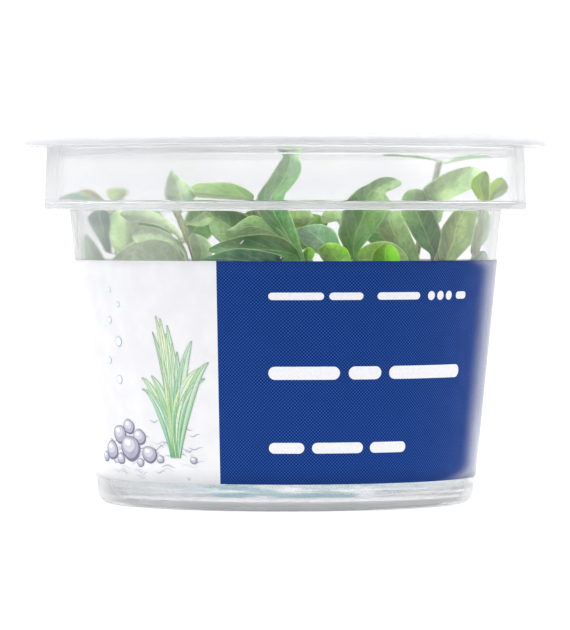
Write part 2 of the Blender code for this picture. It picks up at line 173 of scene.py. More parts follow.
# Outlines of the leaves that show at the front, from the stalk to the tip, as pixels of the photograph:
# x and y of one edge, x and y of the other. They are laid on each leaf's own plane.
OUTLINES = {
    4: [(107, 251, 112.5, 252), (103, 244, 113, 243), (99, 235, 112, 234), (96, 227, 112.5, 225),
        (91.5, 219, 113, 218), (91, 215, 113, 211), (98, 209, 108, 208)],
    5: [(120, 254, 132, 255), (115, 246, 137, 244), (113, 234, 140, 232), (113, 222, 141, 220),
        (115, 213, 140, 211), (122, 208, 134, 208)],
    6: [(100, 290, 118, 285), (90, 275, 117, 272), (84, 262, 110, 260), (83, 250, 101, 248),
        (83, 240, 93, 239), (84, 234, 87, 233)],
    7: [(172, 208, 182, 208), (168.5, 202.5, 193, 202.5), (166, 196, 197.5, 197), (166.5, 188, 193, 190),
        (168, 179, 184, 181), (170, 174, 177, 175), (172, 170.5, 174, 171)],
    8: [(176, 235, 178, 229), (168, 230, 172, 223), (158, 225.5, 163, 216), (148, 223.5, 153, 210),
        (139, 222, 140, 206), (130, 221, 128, 208), (122, 215, 122, 212)],
    9: [(184, 254, 187, 250), (177, 247, 182, 243), (167, 241.5, 173, 235.5), (155, 239.5, 162, 229),
        (144, 241.5, 147, 226), (138, 243, 140, 226), (134, 238, 134, 232)],
    10: [(190, 284, 190, 268), (182, 285, 184, 258), (172, 286, 177, 247.5), (160, 287, 165, 240),
         (147, 286, 150, 239.5), (134, 283, 137, 242), (123, 277, 124, 250.5), (112, 266, 112, 262)],
    11: [(190, 224.5, 189.5, 222), (195, 226, 194, 218.5), (201, 226.3, 200, 215), (206, 225.5, 204.5, 211.5),
         (210, 223, 209, 212), (212.5, 219, 212, 216)],
    12: [(196, 259, 206, 262), (192, 250, 212.5, 254), (190, 242, 213, 246), (190, 236, 207, 238.5),
         (194, 233, 200, 234.5)],
    13: [(252, 203, 254, 197), (243, 203, 243, 191), (230, 203, 230, 187), (217, 203, 217, 185.5),
         (207, 200.5, 206, 185.5), (198, 198.5, 197, 186.5), (191, 195.5, 190.5, 189)],
    14: [(246, 251, 252, 243), (236, 249, 256, 232), (227, 245.5, 255, 222), (218, 240, 247, 214),
         (211.5, 233, 236, 210), (209, 226, 224, 208.5), (209, 219, 214, 209), (209.5, 213, 211, 211)],
    15: [(264, 236, 262, 230), (275, 235, 272, 220), (286, 231, 284, 211), (296, 227.5, 294, 208.5),
         (305, 226, 303, 208), (310, 223, 309, 209), (314, 219, 313, 214)],
    16: [(303, 262, 306, 261), (296, 256, 303.5, 254), (287, 247, 300, 244), (277, 236, 297, 234),
         (268, 226, 293.5, 222), (260, 216, 289.5, 212), (256, 206, 287, 205), (257, 198, 284, 198),
         (262, 190, 290, 190), (268, 182, 297, 181), (274, 172, 301.5, 171), (280, 162, 300.5, 162),
         (283, 157, 299, 156), (279, 152, 301, 152.5), (276, 150, 302, 150)],
    17: [(285, 250, 292, 243), (275, 240, 280, 230), (262, 236, 266, 220), (250, 236.5, 254, 215.5),
         (240, 235.5, 244, 220), (232, 233, 234, 226.5), (227, 231.5, 227.5, 229.5)],
    18: [(296, 262, 298, 251), (280, 264, 284, 238), (264, 264, 266, 234), (246, 262, 248, 235),
         (231, 258, 232, 238.5), (218, 254, 220, 242.5), (209, 251, 210, 248)],
    19: [(300, 275, 302, 262), (285, 275, 288, 258), (270, 275, 270, 252.5), (250, 273, 250, 249),
         (233, 270, 235, 248.5), (218, 265, 222, 251.5), (208, 261, 210, 256), (202, 260, 202, 258.5)],
    20: [(305, 260, 310, 261), (303, 254, 313, 256), (303, 250, 314, 251), (306, 247.5, 311, 247.5)],
    21: [(349, 258, 357, 254), (341, 243, 366, 241), (337, 233, 374, 231), (340, 222, 381, 221),
         (341, 211, 387, 210), (345, 202, 389, 202), (350, 196, 386, 197), (358, 189, 385, 193),
         (367, 184.5, 392, 190), (376, 179, 398, 187), (385, 177, 401, 184), (393, 178, 400, 181)],
    22: [(338, 264, 345, 256), (325, 258, 340, 244), (312, 251, 336, 234), (303, 244, 331, 229),
         (298, 236, 320, 224.5), (297.5, 229, 307, 225)],
    23: [(340, 274, 352, 270), (330, 266, 350, 259), (322, 260, 348, 253), (318, 254, 345, 247.5),
         (317, 249, 337, 243), (322, 245, 330, 242)],
    24: [(357, 266, 352, 256), (366, 272, 362, 247.5), (378, 275, 376, 243), (392, 275, 390, 243.5),
         (402, 270, 401, 249.5), (408, 262, 407, 257)],
    25: [(350, 262, 356, 262), (345, 245, 354, 245), (341, 230, 352, 230), (337, 222, 349, 218),
         (330, 223, 342, 211.5), (323, 223, 332, 210), (321, 217, 324, 211.5)],
    26: [(375, 290, 386, 290), (371.5, 275, 394, 275), (370.5, 262, 398.5, 262), (371, 255, 398, 254),
         (374.5, 248.5, 394.5, 247.5), (381, 244.5, 389, 244.5)],
    27: [(428, 253, 436, 249), (419, 246, 437, 241), (411, 236, 439, 233), (405, 224, 436, 223),
         (400, 213, 431, 212), (402, 207.5, 426, 207.5)],
    28: [(408, 265, 420, 262), (398, 256, 416, 250), (387, 245, 411, 238), (378, 233, 406, 226),
         (375, 220, 402, 215), (379, 210.5, 398, 208)],
    29: [(437, 260, 450, 261), (434, 250, 460, 252), (436, 240, 467, 243), (438, 229, 469, 232),
         (442, 221, 471, 222), (447, 214, 475, 213), (453, 208.5, 473, 208)],
    30: [(460, 270, 470, 276), (466, 261, 482, 265), (473, 255, 484, 256.5), (479, 250.5, 482.5, 251)],
    31: [(483, 206, 486, 206), (478, 200, 488, 199), (473, 193, 488, 191), (469.5, 186, 488, 184),
         (471, 179, 487.5, 178), (476, 174, 487, 174), (481, 171.5, 485, 171.5)],
    32: [(484.5, 206, 487.5, 205), (487, 199, 491, 200.5), (488.5, 191, 496, 193), (490, 183.5, 503, 190.5),
         (494, 178.5, 507, 187), (500, 177, 505, 181)],
    33: [(469, 251, 473, 252), (468, 244, 480, 246), (470, 234, 487, 237), (473, 224, 490.5, 225),
         (478, 215, 490, 215), (482, 209.5, 487, 209.5)],
    37: [(408, 222, 418, 222), (404, 212, 424, 212), (400, 203, 427, 203), (402, 196, 427, 196),
         (407, 190.5, 423, 190), (412, 188.5, 418, 188.5)],
    38: [(434, 221, 441, 221), (433, 212, 444, 212), (431, 203, 447.5, 203), (421, 195, 457, 195),
         (424, 187, 470, 189), (436, 178, 480, 181), (450, 170.5, 484, 173.5), (468, 166, 477, 167.5)],
}

# A leaf's mesh and relief: half widths of its stalk, thickness in the middle and what is lost at the edges,
# rise of the edges, ripple along them, and the grooves of its side veins
LEAF_ROWS, LEAF_COLUMNS, EDGE_STEPS = 30, 12, 12
STALK_ROOT, STALK_BASE = 0.25, 0.32
BLADE_THICKNESS, BLADE_THINNING = 0.3, 0.2
EDGE_RISE, EDGE_POWER = 0.16, 1.3
RIPPLE_LOW, RIPPLE_HIGH, RIPPLE_TURN, RIPPLE_OTHER_SIDE, FULL_RIPPLE = 0.08, 0.2, 13.0, 2.0, 1.5
VEINS, VEIN_DEPTH, VEIN_SLANT = 8, 0.05, 1.1

# A stem's mesh: rings over the gel and in it, sides, and the swelling where a leaf leaves it. Its rosy skin
# turns green and then whitish between the heights given, in millimetres.
STEM_RINGS, STEM_SIDES = 46, 12
BURIED_RINGS, BURIED_STEP = 4, 0.9
NODE_LENGTH, NODE_SWELL, TIP_SHARE = 0.9, 0.22, 0.55
SKIN_TURNS, SKIN_WHITENS, SKIN_WHITE = (40, 49), (51, 54), (0.78, 0.8, 0.72)

# Roots: how many on a stem, the length and drop of a step, and the height that they level out at. Small
# leaves: heights of their pairs, and width as a share of length.
ROOTS_PER_STEM, ROOT_STEP, ROOT_DROP, ROOT_LEVEL = 8, 0.95, 0.3, 5.2
SMALL_LEAF_HEIGHTS, SMALL_LEAF_SHAPE = (14, 20, 26, 32), 0.42

# Drops of water: the pixel of the photograph that each is seen at, and its radius in millimetres
DROPS = (
    (281, 257, 0.2), (223, 247, 0.15), (351, 259, 0.24), (342, 259, 0.17), (241, 243, 0.13), (242, 242, 0.14),
    (243, 241, 0.13), (244, 240, 0.11), (300, 253, 0.1), (196, 246, 0.12), (455, 226, 0.12), (168, 226, 0.1),
    (365, 232, 0.1), (147, 250, 0.12),
)

# The label, in millimetres: its play, its film, its ink and what each stroke of ink stands over the last.
# The white panel's edge, at the foot and at the top, and the end of the blue ground are degrees round from
# the front. The map of the inner side is shifted.
LABEL_LIFT, LABEL_FILM, PRINT_FILM, LEVEL_STEP = 0.06, 0.16, 0.012, 0.0004
LABEL_COLUMNS, LABEL_ROWS = 240, 14
PANEL_EDGE, BLUE_END = (-19.3, -18.35), (157.0, 157.4)
SCREEN_PITCH = 0.3
UNPRINTED_SHIFT = 720.0
LABEL_MIDDLE_RADIUS = BASE_RADIUS + BODY_SLOPE * (LABEL_TOP + LABEL_BOTTOM) / 2
PER_DEGREE = math.radians(1.0) * LABEL_MIDDLE_RADIUS

# Marks on the label: left end, foot, length and height of each bar, the dots' middles, and the lengths of the
# grey rules row by row. All are in millimetres along and up the label.
INK_WHITE, INK_GREY = (0.76, 0.76, 0.79), (0.26, 0.29, 0.34)
BARS = (
    (-2.9, 37.4, 9.4, 1.3), (7.4, 37.4, 6.0, 1.3), (16.0, 37.4, 8.6, 1.3), (33.6, 37.4, 3.0, 1.3),
    (-3.0, 23.4, 12.6, 2.3), (11.2, 23.4, 6.2, 2.3), (19.0, 23.4, 17.4, 2.3),
    (-3.0, 10.4, 6.4, 1.9), (4.8, 10.4, 9.6, 1.9), (15.8, 10.4, 7.6, 1.9),
)
DOTS, DOT_HEIGHT, DOT_RADIUS = (27.2, 29.4, 31.6), 38.05, 0.8
RULES = ((11, 8, 13), (14, 10), (9, 12, 6), (13, 9), (7, 11, 8))
RULES_LEFT, RULES_TOP, RULE_PITCH, RULE_HEIGHT, RULE_GAP = -99.0, 33.0, 3.2, 0.8, 1.2
BAR_STEP, BAR_END_STEPS, DISC_STEPS = 0.8, 6, 16

# The drawing on the white panel. Places are degrees round and millimetres up, and sizes are millimetres.
LILAC, SLATE_GREY = (0.28, 0.28, 0.39), (0.09, 0.1, 0.15)
GREENS = [(0.12, 0.4, 0.16), (0.24, 0.52, 0.2), (0.36, 0.6, 0.24), (0.08, 0.3, 0.18), (0.5, 0.62, 0.3),
          (0.16, 0.44, 0.3)]
GREEN_TIP, GREEN_SHADE = (0.7, 0.78, 0.6), (0.05, 0.2, 0.12)
SAND_STROKES, SAND_LEFT, SAND_RIGHT, SAND_HEIGHT, SAND_SPREAD = 90, -64, -28, 10.6, 2.0
SAND_WIDTHS = [0.03, 0.14, 0.22, 0.25, 0.2, 0.12, 0.03]
PEBBLES = (
    (-51.4, 14.6, 1.7), (-56.2, 13.2, 2.1), (-47.0, 12.8, 1.8), (-61.4, 10.2, 2.2), (-51.4, 10.8, 2.9),
    (-43.2, 9.8, 1.9), (-66.0, 9.0, 1.2), (-56.6, 8.8, 1.3), (-47.2, 8.3, 1.0), (-39.0, 9.0, 0.9),
    (-27.4, 9.0, 0.8),
)
PEBBLE_WOBBLE = 0.05
TUFT, TUFT_FOOT = (-33.5, 17, 11.0), 9.4
BLADE_STEPS = 22
BUBBLES = (
    (-54.0, 23, 0.8), (-58.2, 26.4, 0.55), (-53.0, 29.8, 0.9), (-56.6, 33.6, 0.6), (-52.0, 36.4, 0.45),
    (-55.4, 39, 0.35),
)

# The studio: a small round table, and lamps by name, place, size and power
TABLE_RADIUS, TABLE_SIDES = 0.2, 96
SOFTBOXES = (("left_softbox", (-0.5, -0.6, 0.75), 0.5, 1.4), ("back_softbox", (0.3, 0.5, 0.8), 0.6, 2.0))
LAMPS_AIM = Vector((0, 0, 0.04))


def make_camera():
    data = bpy.data.cameras.new("camera")
    data.sensor_width = SENSOR
    data.lens = FOCAL_PIXELS / FRAME_HIGH * SENSOR
    data.clip_start, data.clip_end = 0.05, 30.0
    camera = bpy.data.objects.new("camera", data)
    bpy.context.scene.collection.objects.link(camera)
    aside = (FRAME_WIDE / 2 - AXIS_X) * EYE.length / FOCAL_PIXELS
    camera.location = EYE + Vector((aside, 0, 0))
    down = math.atan((FRAME_HIGH / 2 - HORIZON_Y) / FOCAL_PIXELS)
    camera.rotation_euler = (math.pi / 2 - down, 0, 0)
    bpy.context.scene.camera = camera


class Nodes:
    """A node tree built up call by call."""

    def __init__(self, tree):
        self.tree = tree

    def add(self, kind, inputs=None, **settings):
        made = self.tree.nodes.new("ShaderNode" + kind)
        for key, value in settings.items():
            setattr(made, key, value)
        for key, value in (inputs or {}).items():
            self.put(made.inputs[key], value)
        return made

    def put(self, socket, value):
        if isinstance(value, bpy.types.NodeSocket):
            self.tree.links.new(value, socket)
        elif socket.type == "RGBA" and len(value) == 3:
            socket.default_value = (*value, 1.0)
        else:
            socket.default_value = value

    def maths(self, operation, a, b=0.0):
        return self.add("Math", {0: a, 1: b}, operation=operation).outputs[0]

    def plus(self, a, b):
        return self.maths("ADD", a, b)

    def minus(self, a, b):
        return self.maths("SUBTRACT", a, b)

    def times(self, a, b):
        return self.maths("MULTIPLY", a, b)

    def size(self, a):
        return self.maths("ABSOLUTE", a)

    def span(self, value, low, high, to_low=0.0, to_high=1.0):
        """A smooth step, from one number where the value is low to another where it is high."""
        return self.add("MapRange", {0: value, 1: low, 2: high, 3: to_low, 4: to_high},
                        interpolation_type="SMOOTHSTEP").outputs[0]


class Look(Nodes):
    """A material, with the textures and shaders that most of them share."""

    def __init__(self, name):
        self.material = bpy.data.materials.new(name)
        self.material.use_nodes = True
        super().__init__(self.material.node_tree)
        self.tree.nodes.clear()
        self.out = self.add("OutputMaterial")
        self.where = self.add("TexCoord").outputs["Object"]

    def attribute(self, name):
        return self.add("Attribute", attribute_name=name).outputs["Color"]

    def mix(self, share, a, b, way="MIX"):
        return self.add("Mix", {0: share, 6: a, 7: b}, data_type="RGBA", blend_type=way).outputs[2]

    def shaded(self, colour, by):
        return self.mix(1.0, colour, by, "MULTIPLY")

    def noise(self, scale, detail=2.0, roughness=0.5, where=None):
        found = self.add("TexNoise", {
            "Vector": where or self.where, "Scale": scale, "Detail": detail, "Roughness": roughness})
        return found.outputs[0]

    def bump(self, height, strength, distance):
        return self.add("Bump", {"Height": height, "Strength": strength, "Distance": distance}).outputs[0]

    def edge_on(self, low, high, most=1.0):
        """0 where the surface faces the eye, and up to the most where it is seen at a low angle."""
        return self.span(self.add("LayerWeight", {"Blend": 0.5}).outputs["Facing"], low, high, 0.0, most)

    def surface(self, colour, shine, specular=0.5, **more):
        """The surface shader. More holds its other inputs, with low lines for the spaces in their names."""
        inputs = {"Base Color": colour, "Roughness": shine, "Specular IOR Level": specular}
        inputs.update((name.replace("_", " "), value) for name, value in more.items())
        return self.add("BsdfPrincipled", inputs).outputs[0]

    def through(self, colour, normal):
        return self.add("BsdfTranslucent", {"Color": colour, "Normal": normal}).outputs[0]

    def thin(self, colour, shine, normal):
        """A leaf's surface, which light also passes through."""
        front = self.surface(colour, shine, 0.2, Normal=normal)
        return self.add("AddShader", {0: front, 1: self.through(colour, normal)}).outputs[0]

    def show(self, shader):
        self.tree.links.new(shader, self.out.inputs["Surface"])
        return self.material


def plastic_look(name, tint, veil, edge_veil, ripple, mist=0.0, clear_radius=0.0):
    """Clear moulded plastic with milky places: a veil that changes with height, more of it where the plastic
    is seen edge on, and a mist of breath on the left of the front. Inside a clear radius most of the veil is
    left out."""
    look = Look(name)
    place = look.add("SeparateXYZ", {0: look.where})
    height = place.outputs[2]
    left = look.span(place.outputs[0], MIST_LEFT * MM, MIST_RIGHT * MM, mist, 0.0)
    front = look.span(place.outputs[1], -MIST_DEPTH * MM, 0.0, 1.0, 0.0)
    share = look.plus(look.times(left, front), veil[0][1])
    for (low, start), (high, end) in zip(veil, veil[1:]):
        share = look.plus(look.span(height, low * MM, high * MM, 0.0, end - start), share)
    share = look.times(share, look.span(look.noise(60.0), 0.25, 0.75, 0.85, 1.15))
    if clear_radius:
        flat = look.add("VectorMath", {0: look.where, 1: (1.0, 1.0, 0.0)}, operation="MULTIPLY").outputs[0]
        radius = look.add("VectorMath", {0: flat}, operation="LENGTH").outputs["Value"]
        outside = look.span(radius, (clear_radius - 1.5) * MM, clear_radius * MM, 0.15, 1.0)
        share = look.times(share, outside)
    cloud = look.maths("MINIMUM", look.plus(share, look.edge_on(0.6, 0.8, edge_veil)), 0.9)
    waves = look.noise(110.0, 1.0)
    normal = look.bump(waves, ripple, 0.0005)
    shine = look.plus(look.times(share, 0.35), look.span(waves, 0.3, 0.7, 0.015, 0.03))
    shade = look.mix(look.span(height, LID_TINT_FROM * MM, LID_TINT_TO * MM), tint, LID_TINT)
    straight = look.surface(shade, shine, Transmission_Weight=1.0, IOR=1.49, Normal=normal)
    grain = look.mix(look.noise(1500.0), (0.9, 0.905, 0.93), (0.95, 0.95, 0.97))
    skin = look.surface(grain, 0.6, 0.2, Normal=normal)
    milky = look.add("MixShader", {0: 0.55, 1: skin, 2: look.through(grain, normal)}).outputs[0]
    return look.show(look.add("MixShader", {0: cloud, 1: straight, 2: milky}).outputs[0])


def gel_look():
    """Clear gel with soft teal streaks low down in the front middle: painted shade that stands in for the
    plants' shade seen refracted through the cup's foot.
    """
    look = Look("clear_gel")
    normal = look.bump(look.noise(220.0), 0.2, 0.0006)
    shine = look.span(look.noise(500.0), 0.3, 0.7, 0.04, 0.12)
    place = look.add("SeparateXYZ", {0: look.where})
    flat = look.add("Mapping", {"Vector": look.where, "Scale": (0.1, 0.1, 1.0)}).outputs[0]
    # Painted shade: teal streaks low in the front middle, for the plants' shade seen refracted through the
    # foot.
    streaks = look.span(look.noise(1100.0, 3.0, 0.6, flat), 0.38, 0.56)
    low = look.span(place.outputs[2], PAINTED_SHADE_FULL * MM, PAINTED_SHADE_GONE * MM, 1.0, 0.0)
    aside = look.size(look.minus(place.outputs[0], PAINTED_SHADE_MIDDLE * MM))
    middle = look.span(aside, PAINTED_SHADE_NEAR * MM, PAINTED_SHADE_FAR * MM, 1.0, 0.0)
    share = look.times(look.times(streaks, low), middle)
    tint = look.mix(share, (0.97, 0.985, 0.985), (0.1, 0.3, 0.36))
    return look.show(look.surface(tint, shine, 0.3, Transmission_Weight=1.0, IOR=1.34, Normal=normal))


def leaf_look():
    """Blade tone from the tone attribute, painted light and shade on the blade's two halves included, with a
    pale midrib, side veins, rim, mottling and fine cells.
    """
    look = Look("leaf_blade")
    tone, edge = look.attribute("tone"), look.attribute("edge")
    place = look.add("SeparateXYZ", {0: look.add("UVMap", uv_map="leaf").outputs[0]})
    wander = look.times(look.minus(look.noise(500.0), 0.5), 0.1)
    off = look.size(look.plus(place.outputs[1], wander))
    midrib = look.span(off, 0.02, 0.075, 1.0, 0.0)
    rows = look.minus(look.times(place.outputs[0], float(VEINS)), look.times(off, 2.2))
    wave = look.size(look.minus(look.maths("FRACT", look.plus(rows, 20.0)), 0.5))
    veins = look.times(look.span(wave, 0.02, 0.12, 1.0, 0.0), look.span(off, 0.6, 0.95, 1.0, 0.0))
    rim = look.span(off, 0.86, 0.97)
    cells = look.add("TexVoronoi", {"Vector": look.where, "Scale": 4200.0}).outputs["Distance"]
    dark = look.shaded(tone, (0.5, 0.62, 0.5))
    colour = look.mix(look.span(look.noise(380.0, 5.0, 0.7), 0.4, 0.62, 0.0, 0.6), tone, dark)
    cloud = look.times(look.span(look.noise(170.0), 0.42, 0.62), 0.45)
    colour = look.mix(cloud, colour, look.shaded(colour, (0.55, 0.66, 0.68)))
    colour = look.mix(look.span(look.noise(1500.0, 3.0, 0.6), 0.46, 0.62, 0.0, 0.4), colour, dark)
    colour = look.mix(look.times(look.span(cells, 0.0, 0.7), 0.12), colour, dark)
    pale = look.mix(0.35, edge, (0.75, 0.9, 0.55))
    for part, share in ((veins, 0.16), (midrib, 0.34), (rim, 0.5)):
        colour = look.mix(look.times(part, share), colour, pale)
    height = look.plus(look.times(veins, -0.5), look.times(midrib, -1.0))
    normal = look.bump(look.plus(height, look.times(cells, 0.25)), 0.55, 0.00012)
    shine = look.span(look.noise(900.0), 0.3, 0.7, 0.34, 0.52)
    return look.show(look.thin(colour, shine, normal))


def small_leaf_look():
    """The tone attribute with darker mottling, for leaves too small for veins."""
    look = Look("small_leaf")
    tone, mottle = look.attribute("tone"), look.noise(600.0, 3.0)
    colour = look.mix(look.span(mottle, 0.4, 0.7), tone, look.shaded(tone, (0.5, 0.65, 0.5)))
    normal = look.bump(mottle, 0.4, 0.0001)
    return look.show(look.thin(colour, look.span(mottle, 0.3, 0.7, 0.35, 0.5), normal))


def stem_look():
    """The tone attribute with darker streaks along the stem."""
    look = Look("stem_skin")
    tone = look.attribute("tone")
    upright = look.add("Mapping", {"Vector": look.where, "Scale": (1.0, 1.0, 0.2)}).outputs[0]
    streaks = look.noise(1800.0, 3.0, where=upright)
    colour = look.mix(look.span(streaks, 0.4, 0.65), tone, look.shaded(tone, (0.6, 0.55, 0.5)))
    normal = look.bump(streaks, 0.4, 0.0001)
    return look.show(look.surface(colour, look.span(streaks, 0.3, 0.7, 0.35, 0.6), 0.3, Normal=normal))


def film_look():
    """Printed film: a bare white panel, and a blue ground with a fine screen of dots. Its map holds degrees
    round and millimetres up, and the shifted part of it is the unprinted inner side."""
    look = Look("printed_film")
    place = look.add("SeparateXYZ", {0: look.add("UVMap", uv_map="label").outputs[0]})
    round_way, up_way = place.outputs[0], place.outputs[1]
    pitch = math.pi / SCREEN_PITCH
    columns = look.maths("SINE", look.times(round_way, pitch * PER_DEGREE))
    rows = look.maths("SINE", look.times(up_way, pitch))
    dots = look.span(look.times(columns, rows), -0.3, 0.6)
    soft = look.noise(240.0, 3.0)
    blue = look.mix(dots, (0.002, 0.014, 0.09), (0.021, 0.085, 0.37))
    blue = look.mix(look.span(soft, 0.3, 0.7, 0.0, 0.3), blue, (0.009, 0.036, 0.165))
    white = look.mix(look.span(soft, 0.3, 0.7), (0.69, 0.69, 0.715), (0.73, 0.73, 0.75))
    edge = look.add("MapRange", {
        0: up_way, 1: LABEL_BOTTOM, 2: LABEL_TOP, 3: PANEL_EDGE[0], 4: PANEL_EDGE[1]}).outputs[0]
    past_panel = look.span(look.minus(round_way, edge), -0.05, 0.05)
    before_end = look.span(round_way, *BLUE_END, 1.0, 0.0)
    colour = look.mix(look.times(past_panel, before_end), white, blue)
    inside = look.maths("GREATER_THAN", round_way, UNPRINTED_SHIFT / 2)
    colour = look.mix(inside, colour, (0.95, 0.95, 0.96))
    normal = look.bump(look.noise(900.0), 0.06, 0.0001)
    shine = look.span(soft, 0.3, 0.7, 0.42, 0.55)
    return look.show(look.surface(colour, shine, 0.04, Normal=normal, Coat_Weight=look.edge_on(0.58, 0.78),
                                  Coat_Roughness=0.2, Coat_IOR=1.6))


def print_look(name):
    """Ink in the tone attribute's colour, with a little grain and wear."""
    look = Look(name)
    ink, grain = look.attribute("tone"), look.noise(2400.0, 4.0, 0.7)
    toned = look.mix(look.span(grain, 0.35, 0.7, 0.0, 0.5), ink, look.shaded(ink, (0.82, 0.82, 0.84)))
    normal = look.bump(grain, 0.05, 0.0001)
    return look.show(look.surface(toned, look.span(grain, 0.3, 0.7, 0.42, 0.55), 0.04, Normal=normal))


def water_look():
    look = Look("water")
    shine = look.span(look.noise(900.0, 1.0), 0.3, 0.7, 0.0, 0.03)
    return look.show(look.surface((1.0, 1.0, 1.0), shine, Transmission_Weight=1.0, IOR=1.33))


def table_look():
    look = Look("white_table")
    tone = look.mix(look.noise(30.0), (0.28, 0.28, 0.28), (0.32, 0.32, 0.32))
    return look.show(look.surface(tone, 0.8, 0.1, Emission_Color=(1.0, 1.0, 1.0), Emission_Strength=0.8))


def mesh_object(name, points, faces, look, smooth=True):
    mesh = bpy.data.meshes.new(name)
    mesh.from_pydata([tuple(p) for p in points], [], faces)
    mesh.validate()
    if smooth:
        mesh.polygons.foreach_set("use_smooth", [True] * len(mesh.polygons))
    mesh.materials.append(look)
    made = bpy.data.objects.new(name, mesh)
    bpy.context.scene.collection.objects.link(made)
    return made


def solid(name, points, faces, look, smooth=True):
    """A closed mesh, with its faces turned outwards."""
    made = mesh_object(name, points, faces, look, smooth)
    shape = bmesh.new()
    shape.from_mesh(made.data)
    bmesh.ops.recalc_face_normals(shape, faces=shape.faces)
    shape.to_mesh(made.data)
    shape.free()
    return made


def paint(made, name, colours):
    """A colour attribute, one colour for each vertex."""
    layer = made.data.attributes.new(name, "FLOAT_COLOR", "POINT")
    layer.data.foreach_set("color", [c for colour in colours for c in (*colour, 1.0)])


def lay_map(made, name, places):
    """A UV map, one place for each vertex."""
    layer = made.data.uv_layers.new(name=name)
    for loop in made.data.loops:
        layer.data[loop.index].uv = places[loop.vertex_index]


def slab_faces(rows, columns, start=0):
    """Faces of a closed slab, whose points are two layers of a grid, from the start on."""
    across, layer = columns + 1, (rows + 1) * (columns + 1)
    faces = []
    for i in range(rows):
        for j in range(columns):
            a = start + i * across + j
            faces.append((a, a + 1, a + 1 + across, a + across))
            faces.append((layer + a, layer + a + across, layer + a + across + 1, layer + a + 1))
    for j in range(columns):
        for a in (start + j, start + rows * across + j):
            faces.append((a, a + 1, layer + a + 1, layer + a))
    for i in range(rows):
        for a in (start + i * across, start + i * across + columns):
            faces.append((a, a + across, layer + a + across, layer + a))
    return faces


def blend(a, b, share):
    return tuple(x + (y - x) * share for x, y in zip(a, b))


def clamped(value):
    return max(0.0, min(1.0, value))


def ramp(value, low, high):
    return clamped((value - low) / (high - low))


def eased(share, ease):
    """A share of a length, moved so that even steps of it stand closer together at the ends."""
    return (1 - math.cos(math.pi * share)) / 2 * ease + share * (1 - ease)


def body_radius(z):
    return BASE_RADIUS + BODY_SLOPE * z


def rounded(corners, pieces=5):
    """A profile of (r, z) with rounded corners. A corner is r, z and its radius, and the ends stay sharp."""
    profile = [corner[:2] for corner in corners]
    made = [profile[0]]
    for before, corner, after in zip(profile, corners[1:], profile[2:]):
        c = Vector(corner[:2])
        to_before, to_after = (Vector(before) - c), (Vector(after) - c)
        reach = min(corner[2], to_before.length * 0.45, to_after.length * 0.45)
        a, b = c + to_before.normalized() * reach, c + to_after.normalized() * reach
        for i in range(pieces + 1):
            t = i / pieces
            made.append(tuple(a * (1 - t) ** 2 + c * 2 * t * (1 - t) + b * t ** 2))
    made.append(profile[-1])
    return made


def held(profile, guard=0.12, longest=3.0):
    """The profile with points near its corners, so that smooth shading stays flat on its straight runs."""
    made = []
    for start, end in zip(profile, profile[1:]):
        a, b = Vector(start), Vector(end)
        length = (b - a).length
        made.append(tuple(a))
        if length > 4 * guard:
            cuts = max(1, int(length / longest))
            shares = [guard / length] + [i / cuts for i in range(1, cuts)] + [1 - guard / length]
            made += [tuple(a.lerp(b, s)) for s in shares]
    made.append(profile[-1])
    return made


def turned(name, profile, look, steps=TURN_STEPS):
    """A closed profile of (r, z) in millimetres, from the axis round to the axis, turned about Z."""
    points, faces, rings = [], [], []
    for r, z in profile:
        if r < 1e-6:
            rings.append([len(points)])
            points.append(Vector((0, 0, z)) * MM)
            continue
        rings.append(list(range(len(points), len(points) + steps)))
        for i in range(steps):
            angle = 2 * math.pi * i / steps
            points.append(Vector((r * math.cos(angle), r * math.sin(angle), z)) * MM)
    for low, high in zip(rings, rings[1:]):
        for i in range(steps):
            j = (i + 1) % steps
            quad = [low[i % len(low)], low[j % len(low)], high[j % len(high)], high[i % len(high)]]
            faces.append(list(dict.fromkeys(quad)))
    return solid(name, points, faces, look)


def make_cup(look):
    inner_fillet = FOOT_FILLET - WALL
    ledge_top = LEDGE_HEIGHT + WALL
    lip_top = TOTAL_HEIGHT - RIM_THICKNESS - TOUCH_GAP
    lip_under = lip_top - LIP_THICKNESS
    lip_radius = LID_RADIUS - SKIRT_WALL - SKIRT_CLEARANCE
    stand_in = body_radius(FOOT_FILLET) - FOOT_FILLET - STAND_WIDTH
    gate_foot = RECESS - GATE_DEPTH
    corners = [
        (0.0, FLOOR_TOP, 0.0),
        (body_radius(FLOOR_TOP + inner_fillet) - WALL, FLOOR_TOP, 1.9),
        (body_radius(LEDGE_HEIGHT) - WALL, ledge_top, 0.35),
        (COLLAR_RADIUS + COLLAR_FLARE - WALL, ledge_top, 0.5),
        (COLLAR_RADIUS - WALL, lip_top, 0.2),
        (lip_radius, lip_top, 0.15),
        (lip_radius, lip_under, 0.15),
        (COLLAR_RADIUS, lip_under, 0.25),
        (COLLAR_RADIUS + COLLAR_FLARE, LEDGE_HEIGHT, 0.75),
        (body_radius(LEDGE_HEIGHT), LEDGE_HEIGHT, 0.2),
        (body_radius(0.0), 0.0, 2.9),
        (stand_in, 0.0, 0.2),
        (stand_in - RECESS, RECESS, 0.25),
        (GATE_RADIUS, RECESS, 0.1),
        (GATE_RADIUS - MARK_SLOPE, gate_foot, 0.1),
        (0.0, gate_foot, 0.0),
    ]
    cup = turned("cup_shell", held(rounded(corners)), look)
    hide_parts("cup")
    return cup


